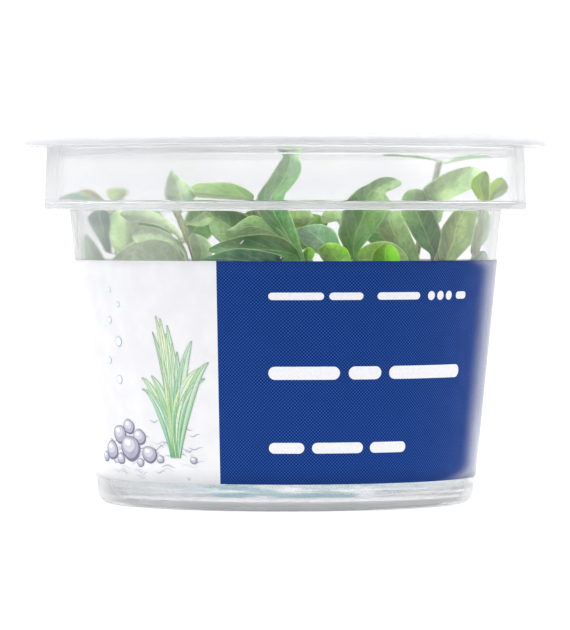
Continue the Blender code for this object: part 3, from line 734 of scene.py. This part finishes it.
def make_lid(look):
    plug_outer = COLLAR_RADIUS - WALL - PLUG_CLEARANCE
    plug_inner = plug_outer - PLUG_WALL
    panel_top = TOTAL_HEIGHT - PANEL_RECESS
    panel_under = panel_top - PANEL_THICKNESS
    plug_foot = panel_under - PLUG_DEPTH
    skirt_in = LID_RADIUS - SKIRT_WALL
    skirt_foot = TOTAL_HEIGHT - SKIRT_HEIGHT
    rim_under = TOTAL_HEIGHT - RIM_THICKNESS
    corners = [
        (0.0, panel_top + MARK_HEIGHT, 0.0),
        (MARK_RADIUS - MARK_SLOPE, panel_top + MARK_HEIGHT, 0.1),
        (MARK_RADIUS, panel_top, 0.1),
        (RING_INNER, panel_top, 0.1),
        (RING_INNER + RING_SLOPE, panel_top + RING_HEIGHT, 0.1),
        (RING_OUTER - RING_SLOPE, panel_top + RING_HEIGHT, 0.1),
        (RING_OUTER, panel_top, 0.1),
        (plug_inner - PLUG_WALL, panel_top, 0.3),
        (plug_inner, TOTAL_HEIGHT, 0.3),
        (LID_RADIUS, TOTAL_HEIGHT, 0.4),
        (LID_RADIUS, skirt_foot, 0.15),
        (skirt_in, skirt_foot, 0.15),
        (skirt_in, rim_under, 0.15),
        (plug_outer, rim_under, 0.15),
        (plug_outer, plug_foot, 0.25),
        (plug_inner, plug_foot, 0.2),
        (plug_inner, panel_under, 0.3),
        (0.0, panel_under, 0.0),
    ]
    lid = turned("lid_moulding", held(rounded(corners)), look)
    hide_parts("lid")
    return lid


def make_gel(look):
    """The gel bed, with a low meniscus at the wall and a faintly uneven top."""
    side = -WALL - GEL_PLAY
    bottom = FLOOR_TOP + GEL_PLAY
    wall_in = body_radius(GEL_TOP) + side
    corners = [
        (0.0, GEL_TOP - GEL_DIP, 0.0),
        (wall_in - 2.5, GEL_TOP - GEL_DIP, 1.5),
        (wall_in - 0.8, GEL_TOP - 0.25, 0.6),
        (wall_in - 0.15, GEL_TOP, 0.1),
        (body_radius(bottom) + side, bottom, 1.8),
        (0.0, bottom, 0.0),
    ]
    gel = turned("gel_bed", held(rounded(corners), longest=1.2), look, GEL_STEPS)
    for vert in gel.data.vertices:
        if vert.co.z > (GEL_TOP - 0.6) * MM and vert.co.xy.length < (wall_in - 1.0) * MM:
            vert.co.z += GEL_UNEVEN * MM * (noise.noise(vert.co * 160.0) - 0.2)
    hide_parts("gel")
    return gel


def label_point(degrees, height, lift):
    """Point over the label at degrees round from the front, height and lift over the cup, in millimetres."""
    angle = math.radians(degrees)
    radius = body_radius(height) + lift
    return Vector((radius * math.sin(angle), -radius * math.cos(angle), height)) * MM


def make_label(look):
    half = 180.0 - LABEL_OPEN / 2
    points, places = [], []
    for lift, shift in ((LABEL_LIFT + LABEL_FILM, 0.0), (LABEL_LIFT, UNPRINTED_SHIFT)):
        for j in range(LABEL_ROWS + 1):
            height = LABEL_BOTTOM + (LABEL_TOP - LABEL_BOTTOM) * j / LABEL_ROWS
            for i in range(LABEL_COLUMNS + 1):
                degrees = -half + 2 * half * i / LABEL_COLUMNS
                points.append(label_point(degrees, height, lift))
                places.append((degrees + shift, height))
    label = solid("label_film", points, slab_faces(LABEL_ROWS, LABEL_COLUMNS), look)
    lay_map(label, "label", places)
    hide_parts("label")
    return label


class Print:
    """Flat strokes of ink on the label, gathered in one mesh. Places are degrees round and millimetres up."""

    def __init__(self):
        self.points, self.faces, self.tones = [], [], []
        self.level = 0

    def strip(self, path, widths, tones, upright=False):
        """A stroke along a path as a chain of four-sided pieces. Upright ends keep its cuts vertical."""
        self.level += 1
        lift = LABEL_LIFT + LABEL_FILM + PRINT_FILM + LEVEL_STEP * self.level
        start = len(self.points)
        for i, ((d, h), width) in enumerate(zip(path, widths)):
            a, b = path[max(i - 1, 0)], path[min(i + 1, len(path) - 1)]
            run = Vector(((b[0] - a[0]) * PER_DEGREE, b[1] - a[1])).normalized()
            offset = Vector((0, 1) if upright else (-run.y, run.x)) * width / 2
            for side in (-1, 1):
                for depth in (0.0, PRINT_FILM * 0.9):
                    at = (d + side * offset.x / PER_DEGREE, h + side * offset.y)
                    self.points.append(label_point(*at, lift - depth))
                    self.tones.append(tones[i])
        last = len(path) - 1
        for i in range(last):
            a, b = start + 4 * i, start + 4 * (i + 1)
            for p, q in ((0, 2), (3, 1), (2, 3), (1, 0)):
                self.faces.append((a + p, a + q, b + q, b + p))
        a, b = start, start + 4 * last
        self.faces += [(a, a + 1, a + 3, a + 2), (b, b + 2, b + 3, b + 1)]

    def bar(self, left, low, length, height, tone):
        """A level bar with round ends. Left and length are millimetres along the label."""
        half = height / 2
        ends = [half * (1 - math.cos(math.pi / 2 * i / BAR_END_STEPS)) for i in range(BAR_END_STEPS)]
        middle = max(1, int((length - height) / BAR_STEP))
        runs = ends + [half + (length - height) * i / middle for i in range(middle + 1)]
        runs += [length - run for run in reversed(ends)]
        widths = []
        for run in runs:
            reach = min(run, length - run, half)
            widths.append(2 * math.sqrt(max(half ** 2 - (half - reach) ** 2, 1e-6)))
        path = [((left + run) / PER_DEGREE, low + half) for run in runs]
        self.strip(path, widths, [tone] * len(path), upright=True)

    def disc(self, left, height, radius, tone, flat=1.0, wobble=0.0, phase=0.0):
        """A filled round shape, made of upright slices."""
        path, widths = [], []
        for i in range(DISC_STEPS + 1):
            angle = math.pi * i / DISC_STEPS
            rise = wobble * radius * math.sin(phase + 3 * angle)
            path.append(((left - radius * math.cos(angle)) / PER_DEGREE, height + rise * math.sin(angle)))
            widths.append(max(0.01, 2 * radius * math.sin(angle) * flat))
        self.strip(path, widths, [tone] * len(path), upright=True)

    def ball(self, degrees, height, size, layers, wobble=0.0, phase=0.0):
        """Discs on each other that make a lit ball. A layer is its shift to the left and up and its radius,
        as shares of the size, then its flatness and tone."""
        for aside, up, share, flat, tone in layers:
            left = degrees * PER_DEGREE - size * aside
            self.disc(left, height + size * up, size * share, tone, flat, wobble, phase)

    def finish(self, name, look):
        made = solid(name, self.points, self.faces, look, smooth=False)
        paint(made, "tone", self.tones)
        return made


def make_marks(look):
    """Plain bars and dots on the blue ground, and grey rules at the back of the white panel."""
    marks = Print()
    for left, low, length, height in BARS:
        marks.bar(left, low, length, height, INK_WHITE)
    for left in DOTS:
        marks.disc(left, DOT_HEIGHT, DOT_RADIUS, INK_WHITE)
    for row, lengths in enumerate(RULES):
        left = RULES_LEFT
        for length in lengths:
            marks.bar(left, RULES_TOP - row * RULE_PITCH, length, RULE_HEIGHT, INK_GREY)
            left += length + RULE_GAP
    return marks.finish("label_marks", look)


def draw_sand(drawing, rng):
    """Short level strokes that the pebbles lie on."""
    count = len(SAND_WIDTHS)
    for _ in range(SAND_STROKES):
        d, h = rng.uniform(SAND_LEFT, SAND_RIGHT), rng.gauss(SAND_HEIGHT, SAND_SPREAD)
        run = rng.uniform(1.0, 5.5)
        path = [(d + run * i / (count - 1), h + 0.25 * math.sin(i + d)) for i in range(count)]
        tone = blend(LILAC, INK_WHITE, rng.uniform(0.2, 0.8))
        drawing.strip(path, SAND_WIDTHS, [tone] * count)


def draw_blade(drawing, root, lean, tall, bend, base, broad):
    """A blade of ribbon grass: its dark outline, its body, a lit stripe and a midrib."""
    path, widths, tones = [], [], []
    for i in range(BLADE_STEPS + 1):
        t = i / BLADE_STEPS
        path.append((root + 0.1 * lean + lean * t ** 1.7 + bend * math.sin(math.pi * t) * 0.8,
                     TUFT_FOOT + tall * t - abs(lean) * 0.5 * t ** 3))
        widths.append(broad * max(0.04, math.sin(math.pi * min(1.0, 0.1 + 0.9 * t)) ** 0.8))
        tones.append(blend(base, GREEN_TIP, 0.1 + 0.5 * t))
    shade = [blend(tone, GREEN_SHADE, 0.6) for tone in tones]
    lit = [blend(tone, INK_WHITE, 0.45) for tone in tones]
    beside = [(d + 0.16 * width / PER_DEGREE, h) for (d, h), width in zip(path, widths)]
    drawing.strip(path, [width + 0.16 for width in widths], shade)
    drawing.strip(path, widths, tones)
    drawing.strip(beside, [width * 0.35 for width in widths], lit)
    drawing.strip(path, [0.1] * len(path), shade)


def make_drawing(look):
    """A plain drawing on the white panel: bubbles over a heap of pebbles, and one tuft of ribbon grass."""
    pebble = (
        (0.0, 0.0, 1.0, 0.8, blend(LILAC, SLATE_GREY, 0.55)),
        (0.06, 0.08, 0.88, 0.78, blend(LILAC, INK_WHITE, 0.25)),
        (0.16, 0.2, 0.62, 0.7, blend(LILAC, INK_WHITE, 0.6)),
        (0.26, 0.34, 0.32, 0.6, INK_WHITE),
    )
    bubble = (
        (0.0, 0.0, 1.0, 1.0, (0.42, 0.55, 0.7)),
        (0.0, 0.0, 0.8, 1.0, (0.82, 0.86, 0.92)),
        (0.25, 0.25, 0.25, 1.0, INK_WHITE),
    )
    rng = random.Random(11)
    drawing = Print()
    draw_sand(drawing, rng)
    for degrees, height, size in PEBBLES:
        drawing.ball(degrees, height, size, pebble, PEBBLE_WOBBLE, rng.uniform(0, 6))
    root, count, spread = TUFT
    for k in range(count):
        lean = spread * ((k + 0.5) / count * 2 - 1) + rng.uniform(-0.8, 0.8)
        tall = rng.uniform(20, 32) * (1 - 0.3 * abs(lean) / spread)
        bend, base, broad = rng.uniform(-1.8, 1.8), rng.choice(GREENS), rng.uniform(1.2, 2.3)
        draw_blade(drawing, root, lean, tall, bend, base, broad)
    for degrees, height, size in BUBBLES:
        drawing.ball(degrees, height, size, bubble)
    return drawing.finish("label_drawing", look)


def along(path, t):
    """Point at 0..1 on the smooth curve through a stem's points, in metres."""
    points = [Vector(p) * MM for p in path]
    spans = len(points) - 1
    span = max(0, min(int(t * spans), spans - 1))
    u = t * spans - span
    before = points[max(span - 1, 0)]
    start, end = points[span], points[span + 1]
    after = points[min(span + 2, spans)]
    slope_in, slope_out = (end - before) / 2, (after - start) / 2
    return (start * (2 * u ** 3 - 3 * u ** 2 + 1) + slope_in * (u ** 3 - 2 * u ** 2 + u)
            + end * (3 * u ** 2 - 2 * u ** 3) + slope_out * (u ** 3 - u ** 2))


def at_height(path, z):
    """How far along a stem's curve, 0..1, it reaches a height in metres."""
    low, high = 0.0, 1.0
    for _ in range(24):
        middle = (low + high) / 2
        if along(path, middle).z < z:
            low = middle
        else:
            high = middle
    return low


def stem_radius(t):
    return (STEM_RADIUS + t * (STEM_TIP_RADIUS - STEM_RADIUS)) * MM


def leaf_foot(path, z, tip):
    """Where a leaf leaves its stem at height z: the CAD leaf's start, and a point in the stem's own skin."""
    t = at_height(path, z)
    foot = along(path, t)
    up = (along(path, t + 0.02) - along(path, t - 0.02)).normalized()
    outward = tip - foot
    sideways = (outward - up * outward.dot(up)).normalized()
    start = foot + sideways * (stem_radius(t) + (TOUCH_GAP + LEAF_THICKNESS) * MM)
    return start, foot + sideways * stem_radius(t) * 0.5


def facing(azimuth, elevation):
    around, up = math.radians(azimuth), math.radians(elevation)
    return Vector((math.sin(around) * math.cos(up), -math.cos(around) * math.cos(up), math.sin(up)))


def seen_point(x, y, origin, normal, lift):
    """Where the camera's ray through a pixel of the photograph meets a leaf's plane."""
    ray = Vector(((x - AXIS_X) / FOCAL_PIXELS, 1.0, -(y - HORIZON_Y) / FOCAL_PIXELS))
    distance = (lift - normal.dot(EYE - origin)) / normal.dot(ray)
    return EYE + ray * distance


def smooth_through(values, s):
    """Catmull-Rom point at s, counted in values."""
    last = len(values) - 1
    i = max(0, min(int(s), last - 1))
    u = s - i
    p0, p1, p2, p3 = (values[max(i - 1, 0)], values[i], values[i + 1], values[min(i + 2, last)])
    return 0.5 * (2 * p1 + (p2 - p0) * u + (2 * p0 - 5 * p1 + 4 * p2 - p3) * u ** 2
                  + (3 * p1 - p0 - 3 * p2 + p3) * u ** 3)


class Leaf:
    """One blade: its two edge lines, its plane, and a gentle relief of its own."""

    def __init__(self, number, row):
        stem, height, tip, width, bow, sweep, azimuth, elevation = row[:8]
        rng = random.Random(100 + number)
        self.tip = Vector(tip) * MM
        self.base, self.root = leaf_foot(STEMS[stem - 1], height * MM, self.tip)
        self.length = (self.tip - self.base).length
        self.axis = (self.tip - self.base) / self.length
        face = facing(azimuth, elevation)
        self.normal = (face - self.axis * face.dot(self.axis)).normalized()
        self.side = self.axis.cross(self.normal)
        self.width, self.bow, self.sweep = width * MM, bow * MM, sweep * MM
        outline = OUTLINES.get(number)
        self.left, self.right = self.traced(outline) if outline else self.plain()
        self.phase = rng.uniform(0, 6.28)
        self.ripple = rng.uniform(RIPPLE_LOW, RIPPLE_HIGH) * MM
        # Which half of the blade gets the painted light; the other half gets painted shade.
        self.painted_lit_side = rng.choice((-1, 1))

    def pair(self, middle, reach):
        return middle - self.side * reach, middle + self.side * reach

    def traced(self, outline):
        """The edges of a leaf that shows in the photograph, laid on its plane with its bow."""
        edges = [self.pair(self.root, STALK_ROOT * MM), self.pair(self.base, STALK_BASE * MM)]
        for i, (ax, ay, bx, by) in enumerate(outline):
            t = (i + 1) / (len(outline) + 0.5)
            lift = self.bow * 4 * t * (1 - t)
            a = seen_point(ax, ay, self.base, self.normal, lift)
            b = seen_point(bx, by, self.base, self.normal, lift)
            crossed = (b - a).dot(self.side) < -0.3 * (b - a).length
            edges.append((b, a) if crossed else (a, b))
        return zip(*edges)

    def plain(self):
        """The edges of a leaf that is known by its length and width alone."""
        edges = [self.pair(self.root, STALK_ROOT * MM)]
        for i in range(EDGE_STEPS + 1):
            t = i / EDGE_STEPS
            blade = max(0.0, math.sin(math.pi * t ** WIDEST_POWER)) ** 0.7
            reach = (STALK_SHARE + (1 - STALK_SHARE) * blade) * self.width / 2
            hump = 4 * t * (1 - t)
            middle = self.base + self.axis * self.length * t + self.normal * self.bow * hump
            edges.append(self.pair(middle + self.side * self.sweep * hump, reach))
        return zip(*edges)

    def point(self, t, v):
        """Point at 0..1 along the leaf and -1..1 across it."""
        s = t * (len(self.left) - 1)
        a, b = smooth_through(self.left, s), smooth_through(self.right, s)
        half = (b - a).length / 2
        calm = min(1.0, half / (FULL_RIPPLE * MM))
        turn = self.phase + t * RIPPLE_TURN + (RIPPLE_OTHER_SIDE if v > 0 else 0.0)
        groove = abs(math.sin(math.pi * (VEINS * t - VEIN_SLANT * abs(v)))) * (1 - abs(v))
        lift = half * EDGE_RISE * abs(v) ** EDGE_POWER
        lift += self.ripple * calm * v * v * math.sin(turn)
        lift -= VEIN_DEPTH * MM * calm * groove
        return (a + b) / 2 + (b - a) / 2 * v + self.normal * lift


def make_leaf(number, row, look):
    leaf = Leaf(number, row)
    points, places = [], []
    for sign in (1, -1):
        for i in range(LEAF_ROWS + 1):
            t = eased(i / LEAF_ROWS, 0.45)
            for j in range(LEAF_COLUMNS + 1):
                v = 2 * eased(j / LEAF_COLUMNS, 0.4) - 1
                thick = 0.5 * (BLADE_THICKNESS - BLADE_THINNING * abs(v) ** 3) * MM
                points.append(leaf.point(t, v) + leaf.normal * thick * sign)
                places.append((t, v))
    start, end, edge = (TONES[name] for name in row[8:11])
    tones = []
    for point, (t, v) in zip(points, places):
        drift = noise.noise(point * 230.0 + leaf.normal * 3.0)
        tone = blend(start, end, clamped(t * 1.3 - 0.3 + drift * 0.5))
        tone = blend(tone, edge, max(0.0, 0.45 * noise.noise(point * 330.0 - leaf.axis) + 0.12 * abs(v)))
        # Painted light and shade: one half of the blade is painted lighter and the other darker, standing in
        # for light catching one side of its fold.
        light = 1.0 + 0.22 * math.tanh(3.0 * v) * leaf.painted_lit_side
        tones.append(tuple(c * light for c in tone))
    made = solid(f"blade_{number:02d}", points, slab_faces(LEAF_ROWS, LEAF_COLUMNS), look)
    paint(made, "tone", tones)
    paint(made, "edge", [edge] * len(points))
    lay_map(made, "leaf", places)
    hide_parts(f"leaf_{number:02d}")
    return made


def tube(path, radii, sides):
    """Points and faces of a closed tube along a path."""
    points, faces = [], []
    side = Vector((1, 0, 0))
    for i, centre in enumerate(path):
        run = (path[min(i + 1, len(path) - 1)] - path[max(i - 1, 0)]).normalized()
        side = (side - run * side.dot(run)).normalized()
        other = run.cross(side)
        for k in range(sides):
            angle = 2 * math.pi * k / sides
            points.append(centre + (side * math.cos(angle) + other * math.sin(angle)) * radii[i])
    for i in range(len(path) - 1):
        for k in range(sides):
            j = (k + 1) % sides
            a = i * sides
            faces.append((a + k, a + j, a + sides + j, a + sides + k))
    faces.append(tuple(range(sides - 1, -1, -1)))
    end = (len(path) - 1) * sides
    faces.append(tuple(range(end, end + sides)))
    return points, faces


def make_stem(number, path, look):
    """A fleshy stem with swollen nodes where leaves leave it, from inside the gel to its growing tip."""
    heights = [row[1] * MM for row in LEAVES if row[0] == number]
    centres, radii, tones = [], [], []
    for i in range(BURIED_RINGS):
        centres.append(along(path, 0.0) + Vector((0, 0, (i - BURIED_RINGS) * BURIED_STEP)) * MM)
        radii.append(stem_radius(0.0) * (0.7 + 0.07 * i))
        tones.append(TONES["rose"])
    for i in range(STEM_RINGS + 1):
        t = i / STEM_RINGS
        centre = along(path, t)
        height = centre.z / MM
        swell = sum(math.exp(-((centre.z - h) / (NODE_LENGTH * MM)) ** 2) for h in heights)
        share = TIP_SHARE if i == STEM_RINGS else 1.0
        centres.append(centre)
        radii.append(stem_radius(t) * (1 + NODE_SWELL * min(1.0, swell)) * share)
        tone = blend(TONES["rose"], TONES["pale"], ramp(height, *SKIN_TURNS))
        tones.append(blend(tone, SKIN_WHITE, ramp(height, *SKIN_WHITENS)))
    points, faces = tube(centres, radii, STEM_SIDES)
    made = solid(f"shoot_{number:02d}", points, faces, look)
    paint(made, "tone", [tone for tone in tones for _ in range(STEM_SIDES)])
    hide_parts(f"stem_{number:02d}")
    return made


def make_roots(look):
    """Fine roots that run down from the stems and spread in the upper half of the gel."""
    rng = random.Random(5)
    points, faces, tones = [], [], []
    limit = body_radius(4.0) - WALL - 1.2
    for path in STEMS:
        top = Vector(path[0])
        for _ in range(ROOTS_PER_STEM):
            heading = rng.uniform(0, 2 * math.pi)
            at = Vector((top.x, top.y, rng.uniform(5.8, 7.4)))
            line = []
            for _ in range(rng.randint(10, 20)):
                line.append(at * MM)
                heading += rng.uniform(-0.5, 0.5)
                drop = -ROOT_DROP if at.z > ROOT_LEVEL else rng.uniform(-0.06, 0.08)
                at = at + Vector((math.cos(heading) * ROOT_STEP, math.sin(heading) * ROOT_STEP, drop))
                if at.xy.length > limit:
                    at.xy = at.xy.normalized() * limit
                    heading += 1.2
            thick = rng.uniform(0.05, 0.11)
            tone = blend(TONES["rose"], TONES["slate"], rng.random())
            radii = [thick * MM * (1 - 0.6 * i / len(line)) for i in range(len(line))]
            more, sides = tube(line, radii, 6)
            faces.extend(tuple(i + len(points) for i in face) for face in sides)
            points.extend(more)
            tones.extend([tone] * len(more))
    made = solid("roots", points, faces, look)
    paint(made, "tone", tones)
    return made


def small_blade(base, axis, normal, length, tone):
    """Points, faces and tones of one small blade."""
    side, rows, columns = axis.cross(normal), 10, 6
    width, bow = length * SMALL_LEAF_SHAPE, 0.06 * length
    points, tones = [], []
    for sign in (1, -1):
        for i in range(rows + 1):
            t = i / rows
            reach = width * 0.05
            if 0 < t < 1:
                reach = (0.12 + 0.88 * math.sin(math.pi * t ** 1.25) ** 0.8) * width / 2
            for j in range(columns + 1):
                v = 2 * j / columns - 1
                thick = 0.12 * MM * (1 - 0.5 * v * v) * sign
                points.append(base + axis * length * t + side * reach * v
                              + normal * (bow * 4 * t * (1 - t) + 0.2 * reach * abs(v) + thick))
                tones.append(blend(tone, TONES["pale"], 0.6 if j in (0, columns // 2, columns) else 0.25 * t))
    return points, slab_faces(rows, columns), tones


def make_small_leaves(look):
    """Pairs of small leaves low on the stems, behind the label."""
    rng = random.Random(23)
    points, faces, tones = [], [], []
    for path in STEMS:
        turn = rng.uniform(0, math.pi)
        for height in SMALL_LEAF_HEIGHTS:
            height += rng.uniform(-1.2, 1.2)
            turn += math.pi / 2 + rng.uniform(-0.3, 0.3)
            t = at_height(path, height * MM)
            foot = along(path, t)
            for half in (0, math.pi):
                heading = turn + half
                out = Vector((math.cos(heading), math.sin(heading), rng.uniform(0.3, 0.9))).normalized()
                length, room = rng.uniform(6.0, 9.5) * MM, (body_radius(height) - WALL - 1.5) * MM
                while (foot + out * length).xy.length > room and length > 2 * MM:
                    length *= 0.85
                normal = (Vector((0, 0, 1)) - out * out.z).normalized()
                tone = TONES[rng.choice(("deep", "green", "mid", "olive", "teal"))]
                start = foot + out * stem_radius(t) * 0.6
                more, sides, shades = small_blade(start, out, normal, length, tone)
                faces.extend(tuple(i + len(points) for i in face) for face in sides)
                points.extend(more)
                tones.extend(shades)
    made = solid("small_leaves", points, faces, look)
    paint(made, "tone", tones)
    return made


def wall_point(x, y):
    """The point of the cup's inner wall, in millimetres, that is seen at a pixel of the photograph."""
    depth = -BASE_RADIUS
    for _ in range(6):
        scale = (-EYE.y / MM + depth) / FOCAL_PIXELS
        across, height = (x - AXIS_X) * scale, EYE.z / MM - (y - HORIZON_Y) * scale
        depth = -math.sqrt((body_radius(height) - WALL) ** 2 - across ** 2)
    return Vector((across, depth, height))


def make_drops(look):
    """Tiny drops of water on the inside of the wall, at places seen in the photograph."""
    up, rings, around = Vector((0, 0, 1)), 5, 12
    points, faces = [], []
    for x, y, size in DROPS:
        centre = wall_point(x, y) * MM
        inward = Vector((-centre.x, -centre.y, 0)).normalized()
        side = inward.cross(up)
        start = len(points)
        for i in range(rings):
            angle = math.pi / 2 * i / rings
            for k in range(around):
                turn = 2 * math.pi * k / around
                offset = (side * math.cos(turn) + up * math.sin(turn)) * math.cos(angle)
                points.append(centre + (offset * size + inward * (math.sin(angle) * size * 0.6 - 0.03)) * MM)
        points.append(centre + inward * (size * 0.6 - 0.05) * MM)
        top = len(points) - 1
        for k in range(around):
            j = (k + 1) % around
            for a in range(start, top - around, around):
                faces.append((a + k, a + j, a + around + j, a + around + k))
            faces.append((top - around + k, top - around + j, top))
        faces.append(tuple(range(start + around - 1, start - 1, -1)))
    made = solid("water_drops", points, faces, look)
    return made


def make_floor(look):
    """A small round white table top. Past its rim the front of the plastic mirrors the studio's dim side."""
    rim = []
    for i in range(TABLE_SIDES):
        angle = 2 * math.pi * i / TABLE_SIDES
        rim.append((TABLE_RADIUS * math.cos(angle), TABLE_RADIUS * math.sin(angle), 0.0))
    mesh_object("floor", rim, [tuple(range(TABLE_SIDES))], look)


def make_light():
    """A white studio with two lamps. It is dim behind the camera, so that the front of the plastic stays
    clear, and brighter behind the object and above."""
    world = bpy.data.worlds.new("studio")
    bpy.context.scene.world = world
    world.use_nodes = True
    sky = Nodes(world.node_tree)
    heading = sky.add("SeparateXYZ", {0: sky.add("TexCoord").outputs["Generated"]})
    away, up = heading.outputs[1], heading.outputs[2]
    dim = sky.span(away, -0.7, -0.3, 0.82, 0.0)
    level = sky.span(sky.size(sky.plus(up, 0.1)), 0.2, 0.5, 1.0, 0.0)
    above = sky.span(up, 0.2, 0.6)
    behind = sky.span(away, -0.2, 0.2, 1.0, 1.2)
    back = world.node_tree.nodes["Background"]
    sky.put(back.inputs["Strength"], sky.minus(sky.plus(behind, above), sky.times(dim, level)))
    sky.put(back.inputs["Color"], (1.0, 1.0, 1.0))
    for name, place, size, power in SOFTBOXES:
        data = bpy.data.lights.new(name, "AREA")
        data.size, data.energy = size, power
        lamp = bpy.data.objects.new(name, data)
        bpy.context.scene.collection.objects.link(lamp)
        lamp.location = place
        lamp.rotation_mode = "QUATERNION"
        lamp.rotation_quaternion = (LAMPS_AIM - Vector(place)).to_track_quat("-Z", "Y")
    bpy.context.scene.view_settings.view_transform = "Standard"


def main():
    make_camera()
    make_light()
    make_floor(table_look())
    cup_plastic = plastic_look("clear_plastic", CUP_TINT, CUP_VEIL, 0.35, 0.02, mist=0.12)
    lid_plastic = plastic_look("lid_plastic", LID_TINT, LID_VEIL, 0.15, 0.03, clear_radius=LID_CLEAR_RADIUS)
    blade, skin = leaf_look(), stem_look()
    pieces = [
        make_cup(cup_plastic),
        make_lid(lid_plastic),
        make_gel(gel_look()),
        make_label(film_look()),
        make_marks(print_look("white_ink")),
        make_drawing(print_look("drawing_ink")),
    ]
    pieces += [make_stem(number, path, skin) for number, path in enumerate(STEMS, start=1)]
    pieces += [make_roots(skin), make_small_leaves(small_leaf_look()), make_drops(water_look())]
    pieces += [make_leaf(number, row, blade) for number, row in enumerate(LEAVES, start=1)]
    for piece in pieces:
        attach(piece, "root")


main()
